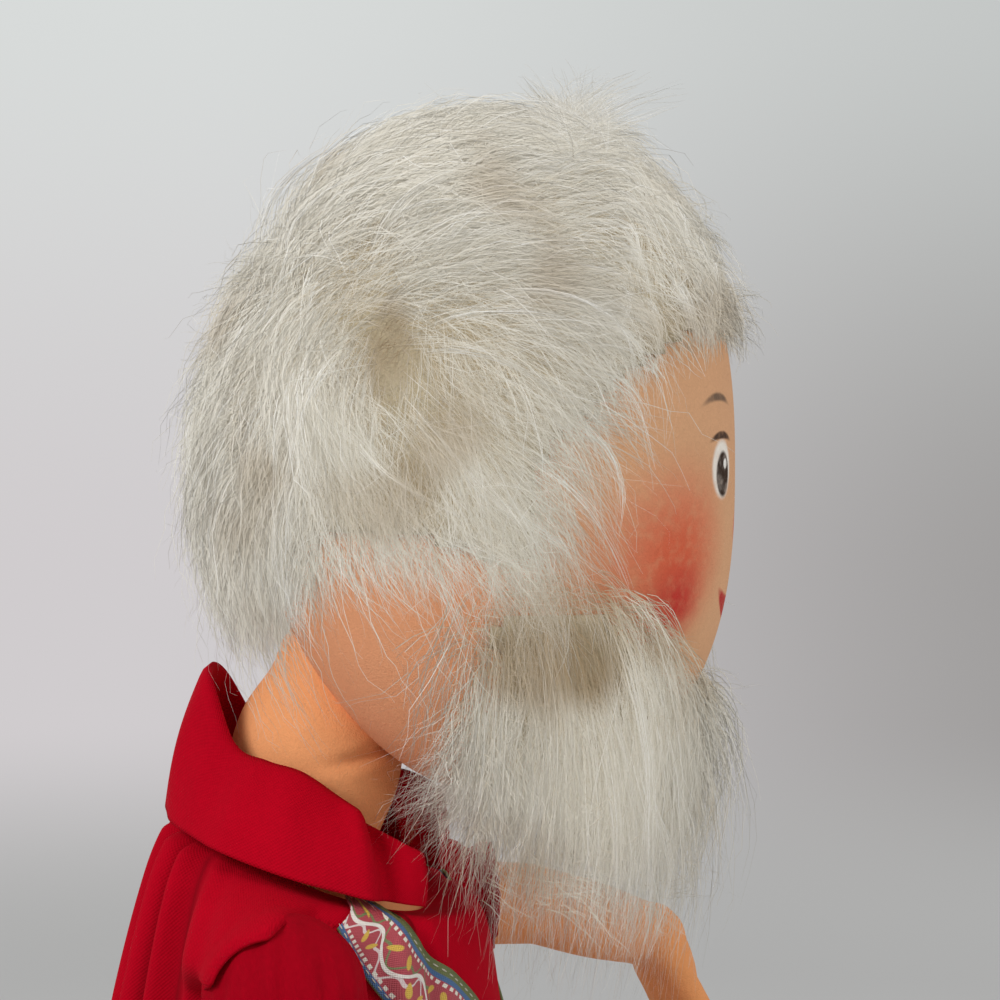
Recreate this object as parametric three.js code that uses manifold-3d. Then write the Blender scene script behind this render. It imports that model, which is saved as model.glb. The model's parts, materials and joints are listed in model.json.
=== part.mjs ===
// Santa doll: a stuffed felt doll on a bent wire armature, with a fur wig and beard, a red cotton
// smock with woven ribbon down the front, cotton trousers and black felt boots.
// Millimetres, +Z up. The doll stands on the floor and faces -Y, so its left side is at +X.
import * as THREE from "three";
import { mergeVertices } from "three/addons/utils/BufferGeometryUtils.js";
import Module from "manifold-3d";

const wasm = await Module();
wasm.setup();

// Cloth, wire and clearances
const FELT = 1.2; // felt skin and boots
const COTTON = 0.8; // smock, sleeves and trousers
const MASK = 1.4; // stiffened mask behind the face
const WIRE = 2.0; // armature wire diameter
const FIT = 0.3; // gap between pieces that touch
const SWING = 0.6; // gap round a joint that turns
const REACH = 1000; // cutters run past the whole doll

// Legs, from the floor up
const SOLE = 3.0; // thickness of the boot sole
const SOLE_RIM = 0.8; // how far the sole stands out round the boot
const FOOT_HALF_WIDTH = 17;
const FOOT_HALF_LENGTH = 34;
const FOOT_HEIGHT = 27;
const FOOT_FORWARD = 13; // middle of the foot, in front of the leg
const BOOT_TOP = 60; // height of the boot's open top
const BOOT_RADIUS = 17; // boot shaft
const BOOT_FLARE = 1.0; // how much wider the boot is at its top
const TUCK = 12; // how deep the trouser leg goes into the boot
const KNEE_HEIGHT = 90;
const KNEE_RADIUS = 14.5;
const KNEE_BEND = 95; // degrees, backwards
const CALF_RADIUS = 15.2;
const HIP_HEIGHT = 150;
const HIP_SPACING = 48; // from hip to hip
const THIGH_RADIUS = 17.5;
const MID_THIGH_RADIUS = 17;

// Torso and neck
const SHOULDER_HEIGHT = 288;
const SHOULDER_SPACING = 96; // from shoulder joint to shoulder joint
const SHOULDER_SIDE = SHOULDER_SPACING / 2;
const SEAT_HALF_WIDTH = 30;
const SEAT_HALF_DEPTH = 28;
const BELLY_RISE = 62; // fullest part of the torso, above the hips
const BELLY_HALF_WIDTH = 38.5;
const BELLY_HALF_DEPTH = 36;
const CHEST_DROP = 20; // below the shoulders
const CHEST_HALF_WIDTH = 35.5;
const CHEST_HALF_DEPTH = 31;
const SHOULDER_INSET = 11.4; // side of the torso, inwards of the shoulder joint
const SHOULDER_HALF_DEPTH = 26;
const TORSO_TOP_RISE = 15; // above the shoulders
const TORSO_TOP_RADIUS = 15;
const TORSO_BOTTOM = HIP_HEIGHT + THIGH_RADIUS + FIT + COTTON + FIT;
const TORSO_TOP = SHOULDER_HEIGHT + TORSO_TOP_RISE;
const TORSO_LOOPS = [
  { height: TORSO_BOTTOM, halfWidth: SEAT_HALF_WIDTH, halfDepth: SEAT_HALF_DEPTH },
  { height: HIP_HEIGHT + BELLY_RISE, halfWidth: BELLY_HALF_WIDTH, halfDepth: BELLY_HALF_DEPTH },
  { height: SHOULDER_HEIGHT - CHEST_DROP, halfWidth: CHEST_HALF_WIDTH, halfDepth: CHEST_HALF_DEPTH },
  { height: SHOULDER_HEIGHT, halfWidth: SHOULDER_SIDE - SHOULDER_INSET, halfDepth: SHOULDER_HALF_DEPTH },
  { height: TORSO_TOP, halfWidth: TORSO_TOP_RADIUS, halfDepth: TORSO_TOP_RADIUS },
];
const TROUSER_RISE = 28; // height of the waistband above the seat
const NECK_BACK = 2; // neck joint, behind the middle of the torso
const NECK_RISE = 24; // neck joint, above the shoulders
const NECK_HEIGHT = SHOULDER_HEIGHT + NECK_RISE;
const NECK_LENGTH = 32;
const NECK_TILT = 10; // degrees, forwards
const NECK_BASE_RADIUS = 14.5;
const NECK_ROLL_RADIUS = 16.8; // fullest part of the stuffed neck
const NECK_ROLL_SHARE = 0.42; // how far up the neck it is fullest
const NECK_TOP_RADIUS = 12.5;

// Head, wig and beard
const HEAD_FORWARD = 33; // middle of the head, in front of the middle of the torso
const HEAD_RISE = 72; // middle of the head, above the neck joint
const HEAD_MIDDLE = NECK_HEIGHT + HEAD_RISE;
const HEAD_HALF_HEIGHT = 64;
const HEAD_HALF_WIDTH = 48;
const HEAD_FRONT = 51; // depth of the face from the middle of the head
const HEAD_BACK = 47;
const FACE_FLATNESS = 2.6; // exponent of the face's profile: 2 is an ellipse
const CHEEK_FULLNESS = 2.2; // exponent of the sides
const CROWN_ROUNDNESS = 2; // exponent of the upper back
const NAPE_SLOPE = 1.7; // exponent of the lower back: under 2 slopes in
const SEAM_BACK = 3; // seam of face and back of head, behind the middle of the head
const FACE_SEAM = HEAD_FORWARD - SEAM_BACK;
const WIG_THICKNESS = 6.5;
const WIG_LUMP = 1.6; // height of the wig's locks
const WIG_LOCKS = 9; // locks round the head
const WIG_SWIRL = 3; // radians that a lock turns between the middle and the top of the head
const TUFT_HEIGHT = 7; // quiff above the forehead
const TUFT_BEGINS = 0.6; // from the middle of the head (0) to the crown (1)
const FACE_OPENING_DROP = 11; // middle of the bare face, below the middle of the head
const FACE_OPENING_HALF_HEIGHT = 36;
const FACE_OPENING_HALF_WIDTH = 38;
const HAIRLINE_FORWARD = 27; // the wig and beard end here, in front of the middle of the head
const NAPE_DROP = 22; // lower edge of the wig at the back, below the middle of the head
const SIDE_LOCK_DROP = 54; // lower edge of the wig in front of the ear
const BEARD_REAR = 6; // rear of the beard at its top, in front of the middle of the head
const BEARD_TIP_REAR = 13; // rear of the beard at its tip
const BEARD_REACH = 49; // front of the beard, in front of the middle of the head
const BEARD_DROP = 20; // top of the beard, below the middle of the head
const BEARD_LENGTH = 77;
const BEARD_BACK = HEAD_FORWARD + BEARD_REAR;
const BEARD_TIP_BACK = HEAD_FORWARD + BEARD_TIP_REAR;
const BEARD_FRONT = HEAD_FORWARD + BEARD_REACH;
const BEARD_TOP = HEAD_MIDDLE - BEARD_DROP;
const BEARD_BOTTOM = BEARD_TOP - BEARD_LENGTH;
const BEARD_HALF_WIDTH = 54;
const BEARD_TIP_HALF_WIDTH = 15;
const BEARD_TIP_FULLNESS = 0.1; // how far the beard has widened at its tip: 1 is at its top
const BEARD_TIP_BULGE = 0.27; // where the tip is on the half wave of the beard's depth
const BEARD_BULGE = 0.5; // how much of that half wave the beard takes up
const BEARD_LOCK = 1.2; // depth of the grooves between the beard's locks
const BEARD_LOCKS = 11;

// Arms
const UPPER_ARM = 42; // shoulder joint to elbow
const FOREARM = 30; // elbow to wrist
const ARM_SPREAD = 18; // degrees, away from the body
const SHOULDER_BALL = 11.5;
const UPPER_ARM_RADIUS = 9.6;
const ELBOW_RADIUS = 7.8;
const ELBOW_BEND = 95; // degrees, forwards
const FOREARM_RADIUS = 8.4;
const FOREARM_FULL_SHARE = 0.45; // how far down the forearm it is fullest
const WRIST_RADIUS = 6.2;
const PALM_LENGTH = 24;
const PALM_HALF_WIDTH = 11;
const PALM_HALF_THICKNESS = 6.4;
const FINGER_RADIUS = 3.4;
const FINGER_LENGTH = 12;
const FINGER_SPACING = 5.4;
const FINGERS = 4;
const THUMB_RADIUS = 3.7;
const THUMB_LENGTH = 13;
const THUMB_ANGLE = 48; // degrees, away from the fingers
const SLEEVE_LENGTH = 27; // shoulder joint to the gathered cuff
const SLEEVE_PUFF = 15.2; // fullest radius of the sleeve
const SLEEVE_PUFF_SHARE = 0.45; // how far down the sleeve it is full
const SLEEVE_FRILL = 4; // length of the loose edge below the gathers
const SLEEVE_FRILL_RADIUS = 13.2;
const ARMHOLE_INSET = 6.4; // the sleeve ends here, inwards of the shoulder joint
const ARMHOLE_ROOM = 1.8; // between the arm and the smock's armhole
const LEFT_ARM = { swing: 86, elbow: -14, wrist: 54 }; // degrees: reaching forward, hand drooping
const RIGHT_ARM = { swing: 6, elbow: 14, wrist: 10 }; // degrees: hanging at the side

// Smock
const NECKLINE_RISE = 17; // above the shoulders
const NECKLINE_HALF_WIDTH = 26;
const NECKLINE_FRONT = 22;
const NECKLINE_BACK = 24;
const NECKLINE_SLOPE = 0.4; // how much the neckline climbs towards the back
const YOKE_RISE = 11; // above the shoulders
const YOKE_INSET = 11; // inwards of the shoulder joint
const YOKE_FRONT = 33;
const YOKE_BACK = 30;
const YOKE_SLOPE = 0.12;
const BUST_DROP = 18; // below the shoulders
const BUST_INSET = 8.6; // inwards of the shoulder joint
const BUST_DEPTH = 38;
const WAIST_RISE = 49; // above the hem
const WAIST_HALF_WIDTH = 43.5;
const WAIST_DEPTH = 46;
const HEM_RISE = 23; // above the hips
const HEM_HALF_WIDTH = 50;
const HEM_DEPTH = 53;
const HEM_HEIGHT = HIP_HEIGHT + HEM_RISE;
// Loops from the neckline to the hem
const SMOCK_LOOPS = [
  {
    height: SHOULDER_HEIGHT + NECKLINE_RISE,
    halfWidth: NECKLINE_HALF_WIDTH,
    front: NECKLINE_FRONT,
    back: NECKLINE_BACK,
    slope: NECKLINE_SLOPE,
  },
  {
    height: SHOULDER_HEIGHT + YOKE_RISE,
    halfWidth: SHOULDER_SIDE - YOKE_INSET,
    front: YOKE_FRONT,
    back: YOKE_BACK,
    slope: YOKE_SLOPE,
  },
  {
    height: SHOULDER_HEIGHT - BUST_DROP,
    halfWidth: SHOULDER_SIDE - BUST_INSET,
    front: BUST_DEPTH,
    back: BUST_DEPTH,
    slope: 0,
  },
  {
    height: HEM_HEIGHT + WAIST_RISE,
    halfWidth: WAIST_HALF_WIDTH,
    front: WAIST_DEPTH,
    back: WAIST_DEPTH,
    slope: 0,
  },
  { height: HEM_HEIGHT, halfWidth: HEM_HALF_WIDTH, front: HEM_DEPTH, back: HEM_DEPTH, slope: 0 },
];
const SMOCK_FOLDS = 12;
const SMOCK_FOLD_DEPTH = 3.2; // at the hem
const PLACKET_ANGLE = 32; // degrees either side of the front that hang without folds
const FOLDS_BEGIN_ANGLE = 58; // degrees from the front where the folds are full
const RIBBON_WIDTH = 14;
const RIBBON_THICKNESS = 0.7;
const RIBBON_GAP = 2; // between the two ribbons down the front
const RIBBON_HEM = 3; // end of the ribbon, above the hem
const RIBBON_STRAIGHT = 38; // length that runs straight up beside the front
const RIBBON_LEAN = 2; // how far it leans out at the chest
const RIBBON_CHEST_DROP = 36; // below the shoulders
const RIBBON_TURN_SIDE = 23; // where it turns out to the shoulder
const RIBBON_TURN_DROP = 12;
const RIBBON_END_SIDE = 44;
const RIBBON_END_RISE = 3; // above the shoulders
const RIBBON_SIDE = (RIBBON_GAP + RIBBON_WIDTH) / 2;
// The middle of the left ribbon: sideways round the smock from its front, and height
const RIBBON_PATH = [
  [RIBBON_SIDE, HEM_HEIGHT + RIBBON_HEM],
  [RIBBON_SIDE, HEM_HEIGHT + RIBBON_HEM + RIBBON_STRAIGHT],
  [RIBBON_SIDE + RIBBON_LEAN, SHOULDER_HEIGHT - RIBBON_CHEST_DROP],
  [RIBBON_TURN_SIDE, SHOULDER_HEIGHT - RIBBON_TURN_DROP],
  [RIBBON_END_SIDE, SHOULDER_HEIGHT + RIBBON_END_RISE],
];

// Collar: a folded band that stands round the neck, open at the front
const COLLAR_RADIUS = 22.5; // upper edge, outside
const COLLAR_THICKNESS = 2.4; // two layers and the fold
const COLLAR_RISE = 10; // upper edge at the sides, above the neck joint
const COLLAR_SLOPE = 0.9; // how much the upper edge climbs towards the back
const COLLAR_SEAT = 0.1; // how far down the smock the lower edge lies: 0 neckline, 1 hem
const COLLAR_GAP = 76; // degrees of the open front

// Facets
const HEAD_SIDES = 20;
const HEAD_RINGS = 10;
const LIMB_SIDES = 10;
const LIMB_STEPS = 3; // between two knots of a limb's outline
const DOME_STEPS = 2;
const TORSO_SIDES = 16;
const TORSO_STEPS = 10;
const FOOT_SIDES = 16;
const SLEEVE_SIDES = 14;
const BALL_SIDES = 16;
const SOLE_SEGMENTS = 20; // in half a turn
const FACE_OPENING_SIDES = 32;
const BEARD_RINGS = 9;
const PALM_RINGS = 6;
const FINGER_SIDES = 6;
const FINGER_CAP_STEPS = 2;
const WIRE_SIDES = 3; // in half a turn
const WIRE_STEPS = 6; // between two points of a bent wire
const SMOCK_STEPS = 26; // across one panel
const SMOCK_ROWS = 9;
const SMOCK_ROW_SPREAD = 1.6; // over 1 brings the rows closer together towards the neckline
const RIBBON_STEPS = 16;
const RIBBON_COLUMNS = 4;
const COLLAR_STEPS = 28;
const COLLAR_ROWS = 3;
const HALVINGS = 24; // in a search for a height

const STUFFING_INSET = FELT + FIT;
const WIRE_BORE = WIRE / 2 + FIT;
const TROUSER_STUFFING_INSET = COTTON + FIT;
const radians = THREE.MathUtils.degToRad;

const SKIN = new THREE.MeshStandardMaterial({ color: "#dc9c6c", roughness: 0.95, metalness: 0 });
const FUR = new THREE.MeshStandardMaterial({ color: "#d5d1c4", roughness: 0.8, metalness: 0 });
const RED = new THREE.MeshStandardMaterial({ color: "#a80d22", roughness: 0.85, metalness: 0 });
const TRIM = new THREE.MeshStandardMaterial({ color: "#a5606a", roughness: 0.8, metalness: 0 });
const BLACK = new THREE.MeshStandardMaterial({ color: "#1d1c1e", roughness: 0.95, metalness: 0 });
const FILL = new THREE.MeshStandardMaterial({ color: "#efece4", roughness: 1, metalness: 0 });
const STIFF = new THREE.MeshStandardMaterial({ color: "#cbbfa8", roughness: 0.9, metalness: 0 });
const STEEL = new THREE.MeshStandardMaterial({ color: "#8d9096", roughness: 0.4, metalness: 1 });

// Solids

// A closed geometry as a solid that can be joined and cut.
function solid(geometry) {
  const bare = new THREE.BufferGeometry();
  bare.setAttribute("position", geometry.getAttribute("position"));
  bare.setIndex(geometry.index);
  const merged = mergeVertices(bare);
  const triVerts = [];
  for (let i = 0; i < merged.index.count; i += 3) {
    const [a, b, c] = merged.index.array.subarray(i, i + 3);
    if (a !== b && b !== c && c !== a) triVerts.push(a, b, c);
  }
  return new wasm.Manifold(
    new wasm.Mesh({
      numProp: 3,
      vertProperties: merged.getAttribute("position").array,
      triVerts: new Uint32Array(triVerts),
    }),
  );
}

function join(...solids) {
  return solids.reduce((all, next) => all.add(next));
}

function cut(body, ...tools) {
  return tools.reduce((left, tool) => left.subtract(tool), body);
}

function part(name, shape, material) {
  const { vertProperties, triVerts } = shape.getMesh();
  const geometry = new THREE.BufferGeometry();
  geometry.setAttribute("position", new THREE.BufferAttribute(vertProperties, 3));
  geometry.setIndex(new THREE.BufferAttribute(triVerts, 1));
  geometry.computeVertexNormals();
  const mesh = new THREE.Mesh(geometry, material);
  mesh.name = name;
  return mesh;
}

function group(name, ...children) {
  const made = new THREE.Group();
  made.name = name;
  if (children.length) made.add(...children);
  return made;
}

// A closed body through rings of points, listed from the lowest ring up and each ring
// anticlockwise seen from above, with its two ends closed to their middles.
function loft(rings) {
  const sides = rings[0].length;
  const points = rings.flat();
  const middle = (ring) =>
    ring.reduce((sum, p) => sum.add(p), new THREE.Vector3()).divideScalar(sides);
  const foot = points.push(middle(rings[0])) - 1;
  const crown = points.push(middle(rings.at(-1))) - 1;
  const top = (rings.length - 1) * sides;
  const index = [];
  for (let k = 0; k < sides; k++) {
    const next = (k + 1) % sides;
    for (let r = 0; r < top; r += sides) {
      index.push(r + k, r + next, r + sides + k);
      index.push(r + next, r + sides + next, r + sides + k);
    }
    index.push(foot, next, k);
    index.push(crown, top + k, top + next);
  }
  return solid(new THREE.BufferGeometry().setFromPoints(points).setIndex(index));
}

// A panel of cloth between an outer and an inner face, each given at (u, v) from 0 to 1: u goes
// anticlockwise seen from above, and v goes up.
function panel(outer, inner, uSteps, vSteps) {
  const ring = (v) => {
    const across = Array.from({ length: uSteps + 1 }, (_, i) => i / uSteps);
    return [...across.map((u) => outer(u, v)), ...across.reverse().map((u) => inner(u, v))];
  };
  const rings = Array.from({ length: vSteps + 1 }, (_, j) => ring(j / vSteps));
  const sides = rings[0].length;
  const index = [];
  for (let r = 0; r < vSteps * sides; r += sides) {
    for (let k = 0; k < sides; k++) {
      const next = (k + 1) % sides;
      index.push(r + k, r + next, r + sides + k);
      index.push(r + next, r + sides + next, r + sides + k);
    }
  }
  for (let i = 0; i < uSteps; i++) {
    const far = sides - 1 - i;
    const last = vSteps * sides;
    index.push(i, far, i + 1, i + 1, far, far - 1);
    index.push(last + i, last + i + 1, last + far, last + i + 1, last + far - 1, last + far);
  }
  const made = new THREE.BufferGeometry().setFromPoints(rings.flat()).setIndex(index);
  return solid(made);
}

// The half outline of a stuffed limb from its lower pole to its upper one: a smooth curve
// through [height, radius] knots with a dome at each end, drawn in by inset.
function limbOutline(knots, inset = 0) {
  const side = new THREE.SplineCurve(knots.map(([z, r]) => new THREE.Vector2(r - inset, z)));
  const span = side.getPoints(LIMB_STEPS * (knots.length - 1));
  const dome = (end, from, to) =>
    Array.from({ length: DOME_STEPS }, (_, i) => {
      const angle = THREE.MathUtils.lerp(from, to, i / DOME_STEPS);
      const x = i ? Math.cos(angle) * end.x : 0;
      return new THREE.Vector2(x, end.y + Math.sin(angle) * end.x);
    });
  const lower = dome(span[0], -Math.PI / 2, 0);
  const upper = dome(span.at(-1), Math.PI / 2, 0).reverse();
  return [...lower, ...span, ...upper];
}

// An outline of (radius, height) points, from the lower pole up, turned round the Z axis.
function revolve(outline, sides = LIMB_SIDES) {
  return solid(new THREE.LatheGeometry(outline, sides).rotateX(Math.PI / 2));
}

function limb(knots, inset = 0, sides = LIMB_SIDES) {
  return revolve(limbOutline(knots, inset), sides);
}

function ball(radius, centre = new THREE.Vector3()) {
  const sphere = new THREE.SphereGeometry(radius, BALL_SIDES, BALL_SIDES / 2);
  return solid(sphere.translate(...centre));
}

// A round bar along a straight or smoothly bent line of points.
function bar(radius, points) {
  const section = new THREE.Shape().absarc(0, 0, radius, 0, 2 * Math.PI);
  const straight = points.length === 2;
  const path = straight ? new THREE.LineCurve3(...points) : new THREE.CatmullRomCurve3(points);
  const steps = straight ? 1 : WIRE_STEPS * (points.length - 1);
  const options = { steps, extrudePath: path, curveSegments: WIRE_SIDES, bevelEnabled: false };
  return solid(new THREE.ExtrudeGeometry(section, options));
}

function at(x, y, z) {
  return new THREE.Vector3(x, y, z);
}

// A block from one corner to the opposite one.
function block(low, high) {
  const size = high.clone().sub(low);
  const middle = low.clone().add(high).divideScalar(2);
  return solid(new THREE.BoxGeometry(...size).translate(...middle));
}

// A value of a list of loops, run smoothly from the first loop (0) to the last (1).
function between(loops, key, share) {
  const knots = loops.map((loop, i) => new THREE.Vector2(i, loop[key]));
  return new THREE.SplineCurve(knots).getPoint(share).y;
}

function below(height) {
  return block(at(-REACH, -REACH, height - REACH), at(REACH, REACH, height));
}

function above(height) {
  return block(at(-REACH, -REACH, height), at(REACH, REACH, height + REACH));
}

function inFrontOf(y) {
  return block(at(-REACH, y - REACH, -REACH), at(REACH, y, REACH));
}

function behind(y) {
  return block(at(-REACH, y, -REACH), at(REACH, y + REACH, REACH));
}

// The room that a hinged lower limb sweeps, about the X axis through the origin: its round end,
// everything below it, and the side that it bends to. Direction is -1 forwards and 1 backwards.
function hingeRoom(radius, bend, direction) {
  const room = radius + SWING;
  const hub = new THREE.CylinderGeometry(room, room, REACH, BALL_SIDES).rotateZ(Math.PI / 2);
  const side = new THREE.BoxGeometry(REACH, REACH, REACH);
  side.translate(0, (direction * REACH) / 2, room - REACH / 2);
  side.rotateX(direction * radians(bend - 90));
  return join(solid(hub), solid(side), below(0));
}

// A limb's three layers: felt or cotton cover, stuffing and wire, with tools cut from the two
// soft ones. The wire runs from a hole in the upper dome to wireEnd.
function stuffedLimb(name, layers, wireTop, wireEnd, tools = []) {
  const { cover, filling, coverName, material } = layers;
  const bore = bar(WIRE_BORE, [at(0, 0, wireTop + REACH), wireEnd.clone().setZ(wireEnd.z - FIT)]);
  const wire = bar(WIRE / 2, [at(0, 0, wireTop - FIT), wireEnd]);
  return [
    part(`${name}_${coverName}`, cut(cover, bore, ...tools), material),
    part(`${name}_stuffing`, cut(filling, bore, ...tools), FILL),
    part(`${name}_wire`, wire, STEEL),
  ];
}

// Legs

const thighLength = HIP_HEIGHT - KNEE_HEIGHT;
const shinLength = KNEE_HEIGHT - BOOT_TOP + TUCK;

function thigh(side) {
  const knots = [
    [-thighLength, KNEE_RADIUS + COTTON],
    [-thighLength / 2, MID_THIGH_RADIUS],
    [0, THIGH_RADIUS],
  ];
  const knee = hingeRoom(KNEE_RADIUS, KNEE_BEND, 1).translate(0, 0, -thighLength);
  const layers = {
    cover: cut(limb(knots), limb(knots, COTTON)),
    filling: limb(knots, TROUSER_STUFFING_INSET),
    coverName: "trouser",
    material: RED,
  };
  const wireEnd = at(0, 0, -thighLength + KNEE_RADIUS + SWING + FIT);
  return stuffedLimb(`${side}_thigh`, layers, THIGH_RADIUS, wireEnd, [knee]);
}

function boot(side) {
  const foot = (inset) => {
    const upper = new THREE.SphereGeometry(1, FOOT_SIDES, FOOT_SIDES / 2);
    upper.scale(FOOT_HALF_WIDTH - inset, FOOT_HALF_LENGTH - inset, FOOT_HEIGHT - inset);
    return cut(solid(upper.translate(0, -FOOT_FORWARD, SOLE + FIT)), below(SOLE + FIT + inset));
  };
  const shaft = (inset, top) => {
    const floor = SOLE + FIT + inset;
    const radius = BOOT_RADIUS - inset;
    const outline = [
      new THREE.Vector2(0, floor),
      new THREE.Vector2(radius - BOOT_FLARE, floor),
      new THREE.Vector2(radius + BOOT_FLARE, BOOT_TOP),
      new THREE.Vector2(radius + BOOT_FLARE, BOOT_TOP + FIT),
      new THREE.Vector2(0, BOOT_TOP + FIT),
    ];
    return cut(revolve(outline, FOOT_SIDES), above(top));
  };
  const hollow = join(foot(FELT), shaft(FELT, BOOT_TOP + REACH));
  const trouserEnd = BOOT_TOP - TUCK;
  const filling = cut(
    join(foot(STUFFING_INSET), shaft(STUFFING_INSET, trouserEnd - FIT)),
    bar(WIRE_BORE, [at(0, 0, REACH), at(0, 0, SOLE + FOOT_HEIGHT / 2)]),
  );
  const outline = new THREE.Shape().absellipse(
    0,
    -FOOT_FORWARD,
    FOOT_HALF_WIDTH + SOLE_RIM,
    FOOT_HALF_LENGTH + SOLE_RIM,
    0,
    2 * Math.PI,
  );
  const sole = { depth: SOLE, bevelEnabled: false, curveSegments: SOLE_SEGMENTS };
  return [
    part(`${side}_boot_upper`, cut(join(foot(0), shaft(0, BOOT_TOP)), hollow), BLACK),
    part(`${side}_boot_stuffing`, filling, FILL),
    part(`${side}_boot_sole`, solid(new THREE.ExtrudeGeometry(outline, sole)), BLACK),
  ];
}

function shin(side) {
  const tuckRadius = BOOT_RADIUS - FELT - FIT;
  const end = -shinLength + tuckRadius;
  const knots = [
    [end, tuckRadius],
    [(end - KNEE_RADIUS) / 2, CALF_RADIUS],
    [0, KNEE_RADIUS],
  ];
  const open = below(-shinLength);
  const layers = {
    cover: cut(limb(knots), limb(knots, COTTON)),
    filling: limb(knots, TROUSER_STUFFING_INSET),
    coverName: "trouser",
    material: RED,
  };
  const wireEnd = at(0, 0, SOLE + FOOT_HEIGHT / 2 + FIT - KNEE_HEIGHT);
  const pieces = stuffedLimb(`${side}_shin`, layers, KNEE_RADIUS, wireEnd, [open]);
  const foot = group(`${side}_foot`, ...boot(side));
  foot.position.z = -KNEE_HEIGHT;
  return [...pieces, foot];
}

function leg(side, direction) {
  const lower = group(`${side}_knee`, ...shin(side));
  lower.position.z = -thighLength;
  const upper = group(`${side}_hip`, ...thigh(side), lower);
  upper.position.set((direction * HIP_SPACING) / 2, 0, HIP_HEIGHT);
  return upper;
}

// Torso and neck

const shoulderAt = (direction) => at(direction * SHOULDER_SIDE, 0, SHOULDER_HEIGHT);
const neckBase = at(0, NECK_BACK, NECK_HEIGHT);
const neckAxis = at(0, -Math.sin(radians(NECK_TILT)), Math.cos(radians(NECK_TILT)));
const neckTop = neckBase.clone().addScaledVector(neckAxis, NECK_LENGTH);

// The torso's surface, grown outwards by offset.
function torso(offset) {
  const rings = Array.from({ length: TORSO_STEPS + 1 }, (_, i) => {
    const v = i / TORSO_STEPS;
    const ends = i === 0 ? -1 : i === TORSO_STEPS ? 1 : 0;
    const height = between(TORSO_LOOPS, "height", v) + ends * offset;
    return Array.from({ length: TORSO_SIDES }, (_, k) => {
      const angle = (2 * Math.PI * k) / TORSO_SIDES;
      const x = (between(TORSO_LOOPS, "halfWidth", v) + offset) * Math.cos(angle);
      const y = (between(TORSO_LOOPS, "halfDepth", v) + offset) * Math.sin(angle);
      return at(x, y, height);
    });
  });
  return loft(rings);
}

function body() {
  const sockets = [1, -1].map((direction) => ball(SHOULDER_BALL + SWING, shoulderAt(direction)));
  const neckSeat = ball(NECK_BASE_RADIUS + SWING, neckBase);
  const side = WIRE + FIT; // the wires pass each other one behind the other
  const wires = {
    spine_wire: [at(0, 0, TORSO_BOTTOM + FELT + FIT), at(0, 0, NECK_HEIGHT - NECK_BASE_RADIUS)],
    shoulder_wire: [1, -1].map((direction) => {
      const inward = -direction * (SHOULDER_BALL + SWING + FIT);
      return shoulderAt(direction).add(at(inward, side, 0));
    }),
    hip_wire: [
      at(HIP_SPACING / 2, side, TORSO_BOTTOM + FIT),
      at(HIP_SPACING / 4, side, TORSO_BOTTOM + HIP_SPACING / 3),
      at(-HIP_SPACING / 4, side, TORSO_BOTTOM + HIP_SPACING / 3),
      at(-HIP_SPACING / 2, side, TORSO_BOTTOM + FIT),
    ],
  };
  const bores = Object.values(wires).map((points) => bar(WIRE_BORE, extended(points)));
  const seat = cut(torso(FIT + COTTON), torso(FIT), above(TORSO_BOTTOM + TROUSER_RISE));
  return [
    part("torso_skin", cut(torso(0), torso(-FELT), neckSeat, ...sockets, ...bores), SKIN),
    part("torso_stuffing", cut(torso(-STUFFING_INSET), neckSeat, ...sockets, ...bores), FILL),
    ...Object.entries(wires).map(([name, points]) => part(name, bar(WIRE / 2, points), STEEL)),
    part("trouser_seat", seat, RED),
  ];
}

// The same line with its two ends carried on by the wire's own clearance.
function extended(points) {
  const longer = points.map((p) => p.clone());
  const grow = (end, next) => end.add(end.clone().sub(next).setLength(2 * FIT));
  grow(longer[0], longer[1]);
  grow(longer.at(-1), longer.at(-2));
  return longer;
}

// The neck stands up the Z axis from its joint; the caller tilts it.
function neckShape(offset, sides = LIMB_SIDES) {
  const knots = [
    [0, NECK_BASE_RADIUS],
    [NECK_LENGTH * NECK_ROLL_SHARE, NECK_ROLL_RADIUS],
    [NECK_LENGTH, NECK_TOP_RADIUS],
  ];
  return limb(knots, -offset, sides);
}

function neck() {
  const layers = {
    cover: cut(neckShape(0), neckShape(-FELT)),
    filling: neckShape(-STUFFING_INSET),
    coverName: "skin",
    material: SKIN,
  };
  const wireTop = NECK_LENGTH + NECK_TOP_RADIUS;
  return stuffedLimb("neck", layers, wireTop, at(0, 0, -NECK_BASE_RADIUS + STUFFING_INSET + FIT));
}

// Room for the neck in the head, placed in the doll.
function neckRoom() {
  const tilt = new THREE.Matrix4().makeRotationX(radians(NECK_TILT));
  tilt.setPosition(neckBase);
  return neckShape(SWING, 2 * LIMB_SIDES).transform(tilt.elements);
}

// Head

// A point of the head, grown outwards by offset: level runs from -1 under the chin to 1 at the
// crown, and angle goes round from the doll's left side (0) through the back (90 degrees).
function headPoint(angle, level, offset) {
  const ease = (power) => Math.pow(1 - Math.pow(Math.abs(level), power), 1 / power);
  const front = Math.sin(angle) < 0;
  const depth = front ? HEAD_FRONT : HEAD_BACK;
  const power = front ? FACE_FLATNESS : level < 0 ? NAPE_SLOPE : CROWN_ROUNDNESS;
  return at(
    (HEAD_HALF_WIDTH + offset) * ease(CHEEK_FULLNESS) * Math.cos(angle),
    (depth + offset) * ease(power) * Math.sin(angle) - HEAD_FORWARD,
    (HEAD_HALF_HEIGHT + offset) * level + HEAD_MIDDLE,
  );
}

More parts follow.
